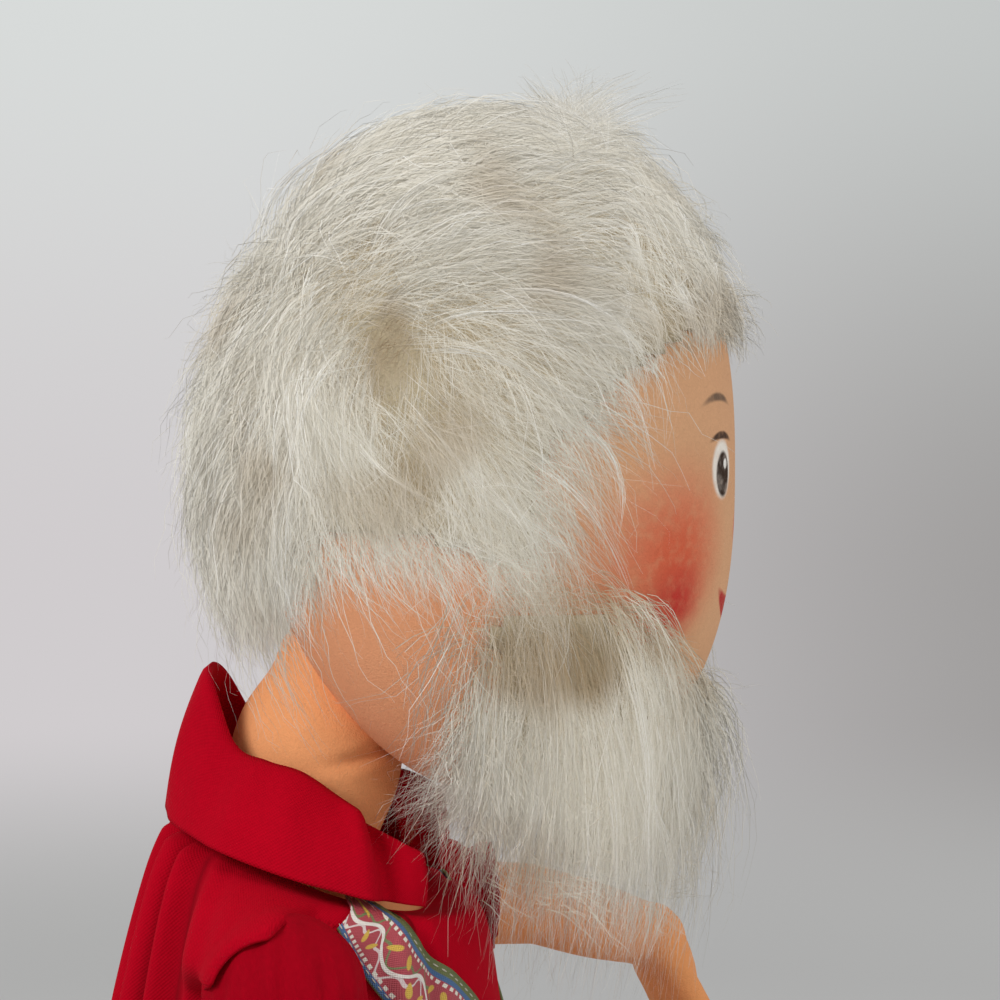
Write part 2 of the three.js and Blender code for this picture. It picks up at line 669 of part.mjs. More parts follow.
function headRings(offsetAt) {
  return Array.from({ length: HEAD_RINGS }, (_, r) => {
    const level = -Math.cos((Math.PI * (r + 0.5)) / HEAD_RINGS);
    return Array.from({ length: HEAD_SIDES }, (_, k) => {
      const angle = (2 * Math.PI * k) / HEAD_SIDES;
      return headPoint(angle, level, offsetAt(angle, level));
    });
  });
}

function headShape(offset) {
  return loft(headRings(() => offset));
}

// The bare face: an upright oval, cut from the front of the wig and beard.
function faceOpening() {
  const oval = new THREE.CylinderGeometry(1, 1, REACH, FACE_OPENING_SIDES);
  oval.scale(FACE_OPENING_HALF_WIDTH, 1, FACE_OPENING_HALF_HEIGHT);
  const hairline = -HEAD_FORWARD - HAIRLINE_FORWARD;
  return solid(oval.translate(0, hairline - REACH / 2, HEAD_MIDDLE - FACE_OPENING_DROP));
}

function wig() {
  const locks = (angle, level) => {
    const lump = (1 - level * level) * Math.sin(WIG_LOCKS * angle + WIG_SWIRL * level);
    const tuft = THREE.MathUtils.smoothstep(level, TUFT_BEGINS, 1) * Math.max(0, -Math.sin(angle));
    return WIG_THICKNESS + WIG_LUMP * lump + TUFT_HEIGHT * tuft;
  };
  const lower = new THREE.BoxGeometry(REACH, REACH, REACH).translate(0, 0, -REACH / 2);
  lower.rotateX(Math.atan2(SIDE_LOCK_DROP - NAPE_DROP, BEARD_REAR + HEAD_BACK));
  lower.translate(0, -BEARD_BACK, HEAD_MIDDLE - SIDE_LOCK_DROP);
  const chin = block(
    at(-REACH, -REACH, -REACH),
    at(REACH, -BEARD_BACK + FIT, BEARD_TOP + FIT),
  );
  const outside = loft(headRings(locks));
  return cut(outside, headShape(FIT), faceOpening(), solid(lower), chin, neckRoom());
}

function beard() {
  const { lerp } = THREE.MathUtils;
  const rings = Array.from({ length: BEARD_RINGS }, (_, i) => {
    const share = i / (BEARD_RINGS - 1); // 0 at the tip, 1 at the top
    const full = Math.sin((lerp(BEARD_TIP_FULLNESS, 1, share) * Math.PI) / 2);
    const halfWidth = lerp(BEARD_TIP_HALF_WIDTH, BEARD_HALF_WIDTH, full);
    const rear = lerp(BEARD_TIP_BACK, BEARD_BACK, share);
    const depth = (BEARD_FRONT - rear) * Math.sin((BEARD_TIP_BULGE + share * BEARD_BULGE) * Math.PI);
    const height = lerp(BEARD_BOTTOM, BEARD_TOP, share);
    return Array.from({ length: HEAD_SIDES }, (_, k) => {
      const angle = Math.PI + (Math.PI * k) / (HEAD_SIDES - 1);
      const lock = BEARD_LOCK * Math.cos(BEARD_LOCKS * 2 * angle);
      const x = (halfWidth + lock) * Math.cos(angle);
      const y = Math.min((depth + lock) * Math.sin(angle), 0) - rear;
      return at(x, y, height);
    });
  });
  return cut(loft(rings), headShape(FIT), faceOpening());
}

function head() {
  const front = inFrontOf(-FACE_SEAM);
  const back = behind(-FACE_SEAM - FIT);
  const room = neckRoom();
  const maskOffset = -FELT - FIT;
  const stuffingOffset = maskOffset - MASK - FIT;
  const wire = [SWING + NECK_TOP_RADIUS + FIT, NECK_LENGTH + NECK_TOP_RADIUS].map((along) =>
    neckTop.clone().addScaledVector(neckAxis, along),
  );
  const bore = bar(WIRE_BORE, [neckTop, extended(wire)[1]]);
  return [
    part("face_felt", cut(headShape(0), headShape(-FELT), back, room), SKIN),
    part("head_back_felt", cut(headShape(0), headShape(-FELT), front, room), SKIN),
    part("face_mask", cut(headShape(maskOffset), headShape(maskOffset - MASK), back, room), STIFF),
    part("head_stuffing", cut(headShape(stuffingOffset), room, bore), FILL),
    part("head_wire", bar(WIRE / 2, wire), STEEL),
    part("hair_wig", wig(), FUR),
    part("beard", beard(), FUR),
  ];
}

// Arms

// A limb shape that hangs down the Z axis, turned away from the body by the arm's spread.
function spread(shape) {
  return shape.transform(new THREE.Matrix4().makeRotationY(-radians(ARM_SPREAD)).elements);
}

function spreadPoint(z) {
  return at(0, 0, z).applyAxisAngle(at(0, 1, 0), -radians(ARM_SPREAD));
}

function capsule(radius, length) {
  const made = new THREE.CapsuleGeometry(radius, length, FINGER_CAP_STEPS, FINGER_SIDES);
  return made.rotateX(Math.PI / 2).translate(0, 0, -length / 2);
}

// The hand hangs from the wrist at the origin, palm backwards and thumb towards the body.
function hand(droop) {
  const palm = new THREE.SphereGeometry(1, LIMB_SIDES, PALM_RINGS);
  palm.scale(PALM_HALF_WIDTH, PALM_HALF_THICKNESS, PALM_LENGTH / 2);
  const pieces = [palm.translate(0, 0, -PALM_LENGTH / 2 + WRIST_RADIUS / 2)];
  const knuckles = -PALM_LENGTH + WRIST_RADIUS + FINGER_RADIUS;
  for (let i = 0; i < FINGERS; i++) {
    const x = (i - (FINGERS - 1) / 2) * FINGER_SPACING;
    pieces.push(capsule(FINGER_RADIUS, FINGER_LENGTH).translate(x, 0, knuckles));
  }
  const thumb = capsule(THUMB_RADIUS, THUMB_LENGTH).rotateY(radians(THUMB_ANGLE));
  pieces.push(thumb.translate(-PALM_HALF_WIDTH / 2, 0, -PALM_LENGTH / 4));
  return join(...pieces.map((piece) => solid(piece.rotateX(radians(droop)))));
}

function forearm(side, pose) {
  const knots = [
    [-FOREARM, WRIST_RADIUS],
    [-FOREARM * FOREARM_FULL_SHARE, FOREARM_RADIUS],
    [0, ELBOW_RADIUS],
  ];
  const layers = {
    cover: cut(
      join(limb(knots), hand(pose.wrist).translate(0, 0, -FOREARM)),
      limb(knots, FELT),
    ),
    filling: limb(knots, STUFFING_INSET),
    coverName: "skin",
    material: SKIN,
  };
  return stuffedLimb(`${side}_forearm`, layers, ELBOW_RADIUS, at(0, 0, -FOREARM));
}

function upperArm(side) {
  const knots = [
    [-UPPER_ARM, ELBOW_RADIUS + FELT],
    [-UPPER_ARM / 2, UPPER_ARM_RADIUS],
    [0, SHOULDER_BALL],
  ];
  const elbow = hingeRoom(ELBOW_RADIUS, ELBOW_BEND, -1).translate(0, 0, -UPPER_ARM);
  const layers = {
    cover: cut(limb(knots), limb(knots, FELT)),
    filling: limb(knots, STUFFING_INSET),
    coverName: "skin",
    material: SKIN,
  };
  const wireEnd = at(0, 0, -UPPER_ARM + ELBOW_RADIUS + SWING + FIT);
  return stuffedLimb(`${side}_upper_arm`, layers, SHOULDER_BALL, wireEnd, [elbow]);
}

// A short sleeve, puffed over the shoulder and gathered on to the arm above its loose edge.
function sleeve(side) {
  const gathered = UPPER_ARM_RADIUS + FIT;
  const shape = (inset) => {
    const puff = SLEEVE_PUFF - inset;
    const half = new THREE.SplineCurve([
      new THREE.Vector2(SLEEVE_FRILL_RADIUS - inset, -SLEEVE_LENGTH - SLEEVE_FRILL),
      new THREE.Vector2(gathered + COTTON - inset, -SLEEVE_LENGTH),
      new THREE.Vector2(puff, -SLEEVE_LENGTH * SLEEVE_PUFF_SHARE),
      new THREE.Vector2(puff, 0),
    ]).getPoints(2 * LIMB_STEPS);
    const dome = [30, 60].map((degrees) => {
      const angle = radians(degrees);
      return new THREE.Vector2(puff * Math.cos(angle), puff * Math.sin(angle));
    });
    const low = new THREE.Vector2(0, half[0].y - (inset ? REACH : 0));
    const open = inset ? [new THREE.Vector2(half[0].x, low.y)] : [];
    return revolve([low, ...open, ...half, ...dome, new THREE.Vector2(0, puff)], SLEEVE_SIDES);
  };
  const body = block(at(-REACH, -REACH, -REACH), at(-ARMHOLE_INSET, REACH, REACH));
  return part(`${side}_sleeve`, cut(spread(cut(shape(0), shape(COTTON))), body), RED);
}

function arm(side, direction, pose) {
  const turned = (name, ...pieces) => {
    const made = group(name, ...pieces);
    made.rotation.y = -radians(ARM_SPREAD);
    return made;
  };
  const lower = group(`${side}_elbow`, turned(`${side}_forearm_spread`, ...forearm(side, pose)));
  lower.position.copy(spreadPoint(-UPPER_ARM));
  lower.rotation.x = -radians(pose.elbow);
  const upper = turned(`${side}_upper_arm_spread`, ...upperArm(side));
  const made = group(`${side}_shoulder`, upper, sleeve(side), lower);
  made.position.copy(shoulderAt(direction));
  made.rotation.x = -radians(pose.swing);
  made.scale.x = direction;
  return made;
}

// Smock, ribbons and collar

// A point of the smock, lifted off its outer face: v runs from 0 at the neckline to 1 at the hem,
// and angle goes round as on the head, so the front is at -90 degrees.
function smockPoint(angle, v, lift) {
  const fromFront = Math.acos(-Math.sin(angle));
  const fullness = THREE.MathUtils.smoothstep(
    fromFront,
    radians(PLACKET_ANGLE),
    radians(FOLDS_BEGIN_ANGLE),
  );
  const fold = SMOCK_FOLD_DEPTH * v * fullness * Math.cos(SMOCK_FOLDS * angle);
  const depth = between(SMOCK_LOOPS, Math.sin(angle) < 0 ? "front" : "back", v);
  const y = (depth + lift + fold) * Math.sin(angle);
  const x = (between(SMOCK_LOOPS, "halfWidth", v) + lift + fold) * Math.cos(angle);
  const z = between(SMOCK_LOOPS, "height", v) + between(SMOCK_LOOPS, "slope", v) * y;
  return at(x, y, z + lift * Math.max(0, 1 - v * SMOCK_LOOPS.length));
}

function smockPanel(from, to) {
  const seam = Math.asin(FIT / SMOCK_LOOPS.at(-1).halfWidth);
  const angle = (u) => THREE.MathUtils.lerp(from + seam, to - seam, u);
  const down = (v) => Math.pow(1 - v, SMOCK_ROW_SPREAD);
  const face = (lift) => (u, v) => smockPoint(angle(u), down(v), lift);
  const room = SHOULDER_BALL + ARMHOLE_ROOM;
  const armholes = [1, -1].map((direction) => ball(room, shoulderAt(direction)));
  return cut(panel(face(0), face(-COTTON), SMOCK_STEPS, SMOCK_ROWS), ...armholes);
}

// The share of the smock's length, from the neckline, where its face has a height.
function smockShare(angle, height) {
  let [low, high] = [0, 1];
  for (let i = 0; i < HALVINGS; i++) {
    const middle = (low + high) / 2;
    if (smockPoint(angle, middle, 0).z > height) low = middle;
    else high = middle;
  }
  return (low + high) / 2;
}

// A ribbon on the face of the smock: from the hem up beside the front, then out to the shoulder.
function ribbon(direction) {
  const path = new THREE.SplineCurve(RIBBON_PATH.map(([x, z]) => new THREE.Vector2(x, z)));
  const chest = SHOULDER_SIDE - BUST_INSET;
  const face = (lift) => (u, v) => {
    const along = path.getTangent(v);
    const across = new THREE.Vector2(along.y, -along.x);
    const aside = direction * (u - 1 / 2) * RIBBON_WIDTH;
    const [sideways, height] = path.getPoint(v).addScaledVector(across, aside);
    const angle = -Math.PI / 2 + (direction * sideways) / chest;
    return smockPoint(angle, smockShare(angle, height), lift);
  };
  return panel(face(2 * FIT + RIBBON_THICKNESS), face(2 * FIT), RIBBON_COLUMNS, RIBBON_STEPS);
}

function collar() {
  const start = -Math.PI / 2 + radians(COLLAR_GAP / 2);
  const angle = (u) => start + u * (2 * Math.PI - radians(COLLAR_GAP));
  const face = (inset) => (u, v) => {
    const foot = smockPoint(angle(u), COLLAR_SEAT, COLLAR_THICKNESS + FIT - inset);
    const radius = COLLAR_RADIUS - inset;
    const [x, y] = [radius * Math.cos(angle(u)), radius * Math.sin(angle(u))];
    const crown = at(x, y, NECK_HEIGHT + COLLAR_RISE + COLLAR_SLOPE * y);
    foot.z += FIT;
    return foot.lerp(crown, v);
  };
  return panel(face(0), face(COLLAR_THICKNESS), COLLAR_STEPS, COLLAR_ROWS);
}

function clothes() {
  return [
    part("smock_front", smockPanel(-Math.PI, 0), RED),
    part("smock_back", smockPanel(0, Math.PI), RED),
    part("left_ribbon", ribbon(1), TRIM),
    part("right_ribbon", ribbon(-1), TRIM),
    part("collar", collar(), RED),
  ];
}

// The whole doll

const neckGroup = group("neck_joint", ...neck());
neckGroup.position.copy(neckBase);
neckGroup.rotation.x = radians(NECK_TILT);

const doll = group(
  "santa_doll",
  group("torso", ...body(), ...clothes()),
  neckGroup,
  group("head", ...head()),
  arm("left", 1, LEFT_ARM),
  arm("right", -1, RIGHT_ARM),
  leg("left", 1),
  leg("right", -1),
);

// The origin is on the floor, under the middle of the doll.
const middle = new THREE.Box3().setFromObject(doll, true).getCenter(new THREE.Vector3());
doll.position.set(-middle.x, -middle.y, 0);

export default doll;
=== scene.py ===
"""A stuffed Santa doll in felt, cotton and fur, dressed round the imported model, in metres."""
import json
import math

import bmesh
import bpy
import numpy as np
from mathutils import Matrix, Vector, noise


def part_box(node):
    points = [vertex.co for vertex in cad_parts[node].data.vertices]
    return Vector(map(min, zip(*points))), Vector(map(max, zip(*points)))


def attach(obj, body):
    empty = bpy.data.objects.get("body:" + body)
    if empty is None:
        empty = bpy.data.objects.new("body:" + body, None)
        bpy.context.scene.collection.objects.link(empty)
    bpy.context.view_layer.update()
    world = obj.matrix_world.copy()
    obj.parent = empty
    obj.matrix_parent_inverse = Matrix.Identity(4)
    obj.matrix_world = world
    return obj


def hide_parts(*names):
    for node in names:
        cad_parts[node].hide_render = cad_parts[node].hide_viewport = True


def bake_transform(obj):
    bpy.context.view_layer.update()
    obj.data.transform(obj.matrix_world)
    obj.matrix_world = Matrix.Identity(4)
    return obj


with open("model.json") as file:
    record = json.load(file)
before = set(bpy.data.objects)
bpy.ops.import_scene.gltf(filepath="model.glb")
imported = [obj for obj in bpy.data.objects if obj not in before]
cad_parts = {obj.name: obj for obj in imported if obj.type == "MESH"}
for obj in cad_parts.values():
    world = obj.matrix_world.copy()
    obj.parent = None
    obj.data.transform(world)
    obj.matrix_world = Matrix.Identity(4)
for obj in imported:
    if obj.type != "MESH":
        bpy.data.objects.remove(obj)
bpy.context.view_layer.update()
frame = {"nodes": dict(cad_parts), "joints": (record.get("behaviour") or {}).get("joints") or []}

# The studio: a pale paper sweep round the doll, a large soft lamp at the left of the picture and an
# even surround. The camera stands at the doll's right shoulder, as far off as a portrait is taken.
MM = 0.001
joint_at = {joint["name"]: Vector(joint["pos_m"]) for joint in frame["joints"]}
scene = bpy.context.scene
scene.view_settings.view_transform = "Standard"


def add_node(tree, kind, inputs=None, **settings):
    """A node with its settings, and with each input set to a value or joined to a socket."""
    made = tree.nodes.new(kind)
    for key, value in settings.items():
        setattr(made, key, value)
    for key, value in (inputs or {}).items():
        if isinstance(value, bpy.types.NodeSocket):
            tree.links.new(value, made.inputs[key])
        else:
            made.inputs[key].default_value = value
    return made


def math_node(tree, operation, *values, clamp=False):
    inputs = dict(enumerate(values))
    return add_node(tree, "ShaderNodeMath", inputs, operation=operation, use_clamp=clamp).outputs[0]


def vector_node(tree, operation, *values):
    inputs = dict(enumerate(values))
    if operation == "SCALE":
        inputs["Scale"] = inputs.pop(1)
    made = add_node(tree, "ShaderNodeVectorMath", inputs, operation=operation)
    return made.outputs["Value" if operation == "LENGTH" else "Vector"]


def object_place(tree):
    return add_node(tree, "ShaderNodeTexCoord").outputs["Object"]


def ramp(tree, value, low, high, to_low=0.0, to_high=1.0):
    """A value eased from one range to another and held at both ends."""
    inputs = {0: value, 1: low, 2: high, 3: to_low, 4: to_high}
    made = add_node(tree, "ShaderNodeMapRange", inputs, interpolation_type="SMOOTHSTEP")
    return made.outputs[0]


def mix_colour(tree, share, first, second, blend="MIX"):
    made = add_node(tree, "ShaderNodeMix", data_type="RGBA", blend_type=blend)
    for index, value in ((0, share), (6, first), (7, second)):
        if isinstance(value, bpy.types.NodeSocket):
            tree.links.new(value, made.inputs[index])
        else:
            made.inputs[index].default_value = value
    return made.outputs[2]


def colour(red, green, blue):
    """A colour read off as 0 to 255 in a picture, in the linear light that a shader takes."""
    shares = [value / 255 for value in (red, green, blue)]
    linear = [s / 12.92 if s <= 0.04045 else ((s + 0.055) / 1.055) ** 2.4 for s in shares]
    return (*linear, 1.0)


def new_material(name, finish):
    """A material with its node tree and its surface shader, set to a finish."""
    material = bpy.data.materials.new(name)
    material.use_nodes = True
    shader = material.node_tree.nodes["Principled BSDF"]
    for key, value in finish.items():
        shader.inputs[key].default_value = value
    return material, material.node_tree, shader


def add_object(name, mesh, *materials):
    made = bpy.data.objects.new(name, mesh)
    scene.collection.objects.link(made)
    for material in materials:
        mesh.materials.append(material)
    return made


def paper_sweep():
    floor_radius = 1.35
    curve_radius = 0.75
    wall_height = 2.6
    turn = [math.radians(6 * step) for step in range(16)]
    bend = [(floor_radius + curve_radius * math.sin(a), curve_radius * (1 - math.cos(a))) for a in turn]
    outline = [(0.05, 0.0), (0.6, 0.0), *bend, (floor_radius + curve_radius, wall_height)]
    sides = 96
    mesh = bpy.data.meshes.new("paper_sweep")
    shape = bmesh.new()
    middle = shape.verts.new((0, 0, 0))
    rings = []
    for radius, height in outline:
        angles = [2 * math.pi * k / sides for k in range(sides)]
        rings.append([shape.verts.new((radius * math.cos(a), radius * math.sin(a), height)) for a in angles])
    for k in range(sides):
        shape.faces.new((middle, rings[0][k], rings[0][(k + 1) % sides]))
        for low, high in zip(rings, rings[1:]):
            shape.faces.new((low[k], high[k], high[(k + 1) % sides], low[(k + 1) % sides]))
    shape.to_mesh(mesh)
    shape.free()
    mesh.shade_smooth()
    return mesh


def paper():
    """White paper: the floor takes light and shadow. The wall behind glows to the camera with painted light
    and shade, lighter at the left and darker to the right and towards the floor.
    """
    finish = {
        "Roughness": 0.95,
        "Base Color": colour(214, 214, 213),
    }
    material, tree, shader = new_material("sweep_paper", finish)
    place = object_place(tree)
    parts = add_node(tree, "ShaderNodeSeparateXYZ", {0: place})
    aside = ramp(tree, parts.outputs["Y"], 0.42, -0.42)
    low = ramp(tree, parts.outputs["Z"], 0.75, 0.2)
    # Painted light and shade for the wall: lighter at the left, darker to the right and low down.
    high = mix_colour(tree, aside, colour(216, 219, 218), colour(196, 199, 198))
    deep = mix_colour(tree, aside, colour(208, 204, 206), colour(158, 156, 155))
    tone = mix_colour(tree, low, high, deep)
    painted_wall_light = add_node(tree, "ShaderNodeEmission", {"Color": tone, "Strength": 1.0})
    path = add_node(tree, "ShaderNodeLightPath")
    seen = math_node(tree, "ADD", path.outputs["Is Camera Ray"], path.outputs["Is Glossy Ray"])
    seen = math_node(tree, "ADD", seen, path.outputs["Is Transmission Ray"], clamp=True)
    wall = math_node(tree, "MULTIPLY", seen, ramp(tree, parts.outputs["Z"], 0.0, 0.12))
    both = add_node(tree, "ShaderNodeMixShader", {0: wall, 1: shader.outputs[0], 2: painted_wall_light.outputs[0]})
    tree.links.new(both.outputs[0], tree.nodes["Material Output"].inputs["Surface"])
    return material


sweep = add_object("paper_sweep", paper_sweep(), paper())
sweep.visible_diffuse = False
sweep.visible_shadow = False

picture_width = 0.2
camera_distance = 0.6
towards_front = math.radians(4)
above = math.radians(3)
picture_middle = joint_at["neck_nod"] + Vector((0, -39, 66)) * MM
away = Vector(
    (
        -math.cos(above) * math.cos(towards_front),
        -math.cos(above) * math.sin(towards_front),
        math.sin(above),
    )
)
lens = bpy.data.cameras.new("camera")
lens.lens = lens.sensor_width * camera_distance / picture_width
lens.clip_start = 0.01
camera = bpy.data.objects.new("camera", lens)
camera.location = picture_middle + away * camera_distance
camera.rotation_euler = (-away).to_track_quat("-Z", "Y").to_euler()
scene.collection.objects.link(camera)
scene.camera = camera

surround = bpy.data.worlds.new("surround")
surround.use_nodes = True
surround.node_tree.nodes["Background"].inputs["Color"].default_value = (1.0, 1.0, 1.0, 1.0)
surround.node_tree.nodes["Background"].inputs["Strength"].default_value = 0.5
scene.world = surround


def soft_lamp(name, place, size, power):
    data = bpy.data.lights.new(name, "AREA")
    data.shape = "DISK"
    data.size = size
    data.energy = power
    made = bpy.data.objects.new(name, data)
    made.location = place
    made.rotation_euler = (picture_middle - Vector(place)).to_track_quat("-Z", "Y").to_euler()
    scene.collection.objects.link(made)


soft_lamp("left_lamp", (-0.95, 0.85, 1.15), 0.7, 13.0)
soft_lamp("right_lamp", (-0.6, -1.2, 0.9), 0.9, 6.0)

# The armature of bent steel wire and the stiffened mask behind the face: both are inside the
# stuffing, so the solids of the model serve as they are, with their own finishes.


def noise_texture(tree, place, scale, detail=2.0, distortion=0.0):
    inputs = {"Vector": place, "Scale": scale, "Detail": detail, "Distortion": distortion}
    return add_node(tree, "ShaderNodeTexNoise", inputs).outputs["Fac"]


def add_bump(tree, shader, height, distance, strength=1.0):
    inputs = {"Height": height, "Distance": distance, "Strength": strength}
    tree.links.new(add_node(tree, "ShaderNodeBump", inputs).outputs[0], shader.inputs["Normal"])


def drawn_wire():
    material, tree, shader = new_material("drawn_wire", {"Metallic": 1.0})
    place = object_place(tree)
    dull = noise_texture(tree, place, 900.0)
    tree.links.new(ramp(tree, dull, 0.3, 0.7, 0.3, 0.5), shader.inputs["Roughness"])
    tone = mix_colour(tree, dull, colour(150, 152, 158), colour(178, 180, 184))
    tree.links.new(tone, shader.inputs["Base Color"])
    return material


def buckram():
    material, tree, shader = new_material("stiffened_buckram", {"Roughness": 0.9})
    place = object_place(tree)
    grain = noise_texture(tree, place, 1500.0)
    tone = mix_colour(tree, grain, colour(186, 172, 146), colour(222, 212, 190))
    tree.links.new(tone, shader.inputs["Base Color"])
    add_bump(tree, shader, grain, 0.2 * MM)
    return material


wire_steel = drawn_wire()
mask_cloth = buckram()
for name, node in frame["nodes"].items():
    if name.endswith("_wire"):
        node.data.materials.clear()
        node.data.materials.append(wire_steel)
mask = frame["nodes"]["face_mask"]
mask.data.materials.clear()
mask.data.materials.append(mask_cloth)

# The torso: two shaped pieces of peach felt sewn up the sides and filled hard with fibre, on the
# wire spine. It shows only at the neckline and under the hem.
torso_middle = (joint_at["left_hip"] + joint_at["right_hip"]) / 2
torso_middle.z = 0.0


def through(knots, share):
    """A smooth run through a list of values, at shares from 0 at the first to 1 at the last."""
    knots = np.asarray(knots, dtype=float)
    last = len(knots) - 1
    place = np.clip(np.asarray(share, dtype=float), 0, 1) * last
    step = np.minimum(place.astype(int), last - 1)
    t = place - step
    before = knots[np.maximum(step - 1, 0)]
    here = knots[step]
    there = knots[step + 1]
    after = knots[np.minimum(step + 2, last)]
    leave = (there - before) / 2
    arrive = (after - here) / 2
    cubic = 2 * here - 2 * there + leave + arrive
    square = -3 * here + 3 * there - 2 * leave - arrive
    return ((cubic * t + square) * t + leave) * t + here


def circle(count):
    """Angles evenly round a circle."""
    return np.linspace(0, 2 * np.pi, count, endpoint=False)


def level(x, y, height):
    """A row of points at one height."""
    return np.stack([x, y, np.full_like(x, height)], axis=1)


def smoothstep(value, low, high):
    t = np.clip((np.asarray(value, dtype=float) - low) / (high - low), 0, 1)
    return t * t * (3 - 2 * t)


def skin_mesh(name, rows, wrap=True, foot=True, crown=True):
    """A mesh over rows of points that go up, each row anticlockwise seen from above. Its UV map
    is in metres of cloth. Foot and crown close the first and the last row to their middles."""
    rows = np.asarray(rows, dtype=float)
    count, around = rows.shape[:2]
    ring = np.concatenate([rows, rows[:, :1]], axis=1) if wrap else rows
    u = np.linalg.norm(np.diff(ring, axis=1), axis=2).mean(axis=0).cumsum()
    v = np.linalg.norm(np.diff(rows, axis=0), axis=2).mean(axis=1).cumsum()
    u = np.concatenate([[0], u])
    v = np.concatenate([[0], v])
    i, j = np.meshgrid(np.arange(count - 1), np.arange(len(u) - 1), indexing="ij")
    k = (j + 1) % around
    corners = [i * around + j, i * around + k, (i + 1) * around + k, (i + 1) * around + j]
    faces = np.stack(corners, axis=-1).reshape(-1, 4).tolist()
    flat = [(u[j], v[i]), (u[j + 1], v[i]), (u[j + 1], v[i + 1]), (u[j], v[i + 1])]
    cloth = np.stack([np.stack(pair, axis=-1) for pair in flat], axis=2).reshape(-1, 2)
    points = rows.reshape(-1, 3).tolist()
    ends = []
    if foot:
        ends += [(len(points), (n + 1) % around, n) for n in range(around)]
        points.append(rows[0].mean(axis=0).tolist())
    if crown:
        top = (count - 1) * around
        ends += [(len(points), top + n, top + (n + 1) % around) for n in range(around)]
        points.append(rows[-1].mean(axis=0).tolist())
    cloth = np.concatenate([cloth, np.zeros((3 * len(ends), 2))])
    mesh = bpy.data.meshes.new(name)
    mesh.from_pydata(points, [], faces + ends)
    mesh.uv_layers.new(name="cloth").data.foreach_set("uv", cloth.ravel())
    mesh.shade_smooth()
    return mesh


def new_group(name, kind, inputs, outputs):
    """A node group and its input sockets. Each socket is given its type, or a number to start from."""
    tree = bpy.data.node_groups.new(name, kind)
    for way, sockets in (("INPUT", inputs), ("OUTPUT", outputs)):
        for socket, value in sockets.items():
            sort = value if isinstance(value, str) else "Float"
            made = tree.interface.new_socket(socket, in_out=way, socket_type=f"NodeSocket{sort}")
            if sort is not value:
                made.default_value = value
    return tree, add_node(tree, "NodeGroupInput").outputs


def felt_fibres():
    """Felt: a cloudy tone, pressed fibres and a soft nap, from the size of the piece in metres."""
    inputs = {"Colour": "Color", "Cloud": 0.15}
    tree, given = new_group("felt fibres", "ShaderNodeTree", inputs, {"Colour": "Color", "Height": "Float"})
    place = object_place(tree)
    cloud = noise_texture(tree, place, 70.0, 3.0)
    fibre = noise_texture(tree, place, 1300.0, 4.0, 1.6)
    nap = noise_texture(tree, place, 3600.0, 2.0)
    cloudy = math_node(tree, "MULTIPLY", math_node(tree, "SUBTRACT", cloud, 0.5), given["Cloud"])
    fine = math_node(tree, "MULTIPLY", math_node(tree, "SUBTRACT", fibre, 0.5), 0.3)
    value = math_node(tree, "ADD", math_node(tree, "ADD", cloudy, fine), 1.0)
    tone = add_node(tree, "ShaderNodeHueSaturation", {"Value": value, "Color": given["Colour"]})
    height = math_node(tree, "ADD", fibre, math_node(tree, "MULTIPLY", nap, 0.5))
    add_node(tree, "NodeGroupOutput", {"Colour": tone.outputs[0], "Height": height})
    return tree


felt_group = felt_fibres()


def felt(name, tone, cloud=0.25, paint=None):
    """A felt of one colour. Paint adds colours over the felt's own and is given its tree."""
    finish = {
        "Roughness": 0.95,
        "Specular IOR Level": 0.15,
        "Sheen Weight": 0.18,
        "Sheen Roughness": 0.6,
        "Sheen Tint": tone,
    }
    material, tree, shader = new_material(name, finish)
    fibres = add_node(tree, "ShaderNodeGroup", node_tree=felt_group)
    fibres.inputs["Cloud"].default_value = cloud
    if paint:
        tree.links.new(paint(tree), fibres.inputs["Colour"])
    else:
        fibres.inputs["Colour"].default_value = tone
    tree.links.new(fibres.outputs["Colour"], shader.inputs["Base Color"])
    add_bump(tree, shader, fibres.outputs["Height"], 0.25 * MM, 0.7)
    return material


peach = colour(236, 164, 112)
body_felt = felt("body_felt", peach)


def torso_rows():
    rows = []
    heights = [168.9, 212, 268, 288, 303]
    half_widths = [30, 38.5, 35.5, 36.6, 15]
    half_depths = [28, 36, 31, 26, 15]
    rounding = 6.0
    seam_depth = 0.6
    seam_width = 0.05
    angle = circle(64)
    for share in np.linspace(0, 1, 48):
        height = through(heights, share)
        edge = np.clip((height - heights[0]) / rounding, 0, 1)
        inside = rounding * (1 - math.sqrt(1 - (1 - edge) ** 2))
        seam = seam_depth * np.exp(-((np.sin(angle) / seam_width) ** 2))
        x = (through(half_widths, share) - inside - seam) * np.cos(angle)
        y = (through(half_depths, share) - inside) * np.sin(angle)
        rows.append(level(x, y, height))
    return np.array(rows) * MM + np.array(torso_middle)


torso = add_object("torso_felt", skin_mesh("torso_felt", torso_rows()), body_felt)
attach(torso, "torso")
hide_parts("torso_skin", "torso_stuffing")
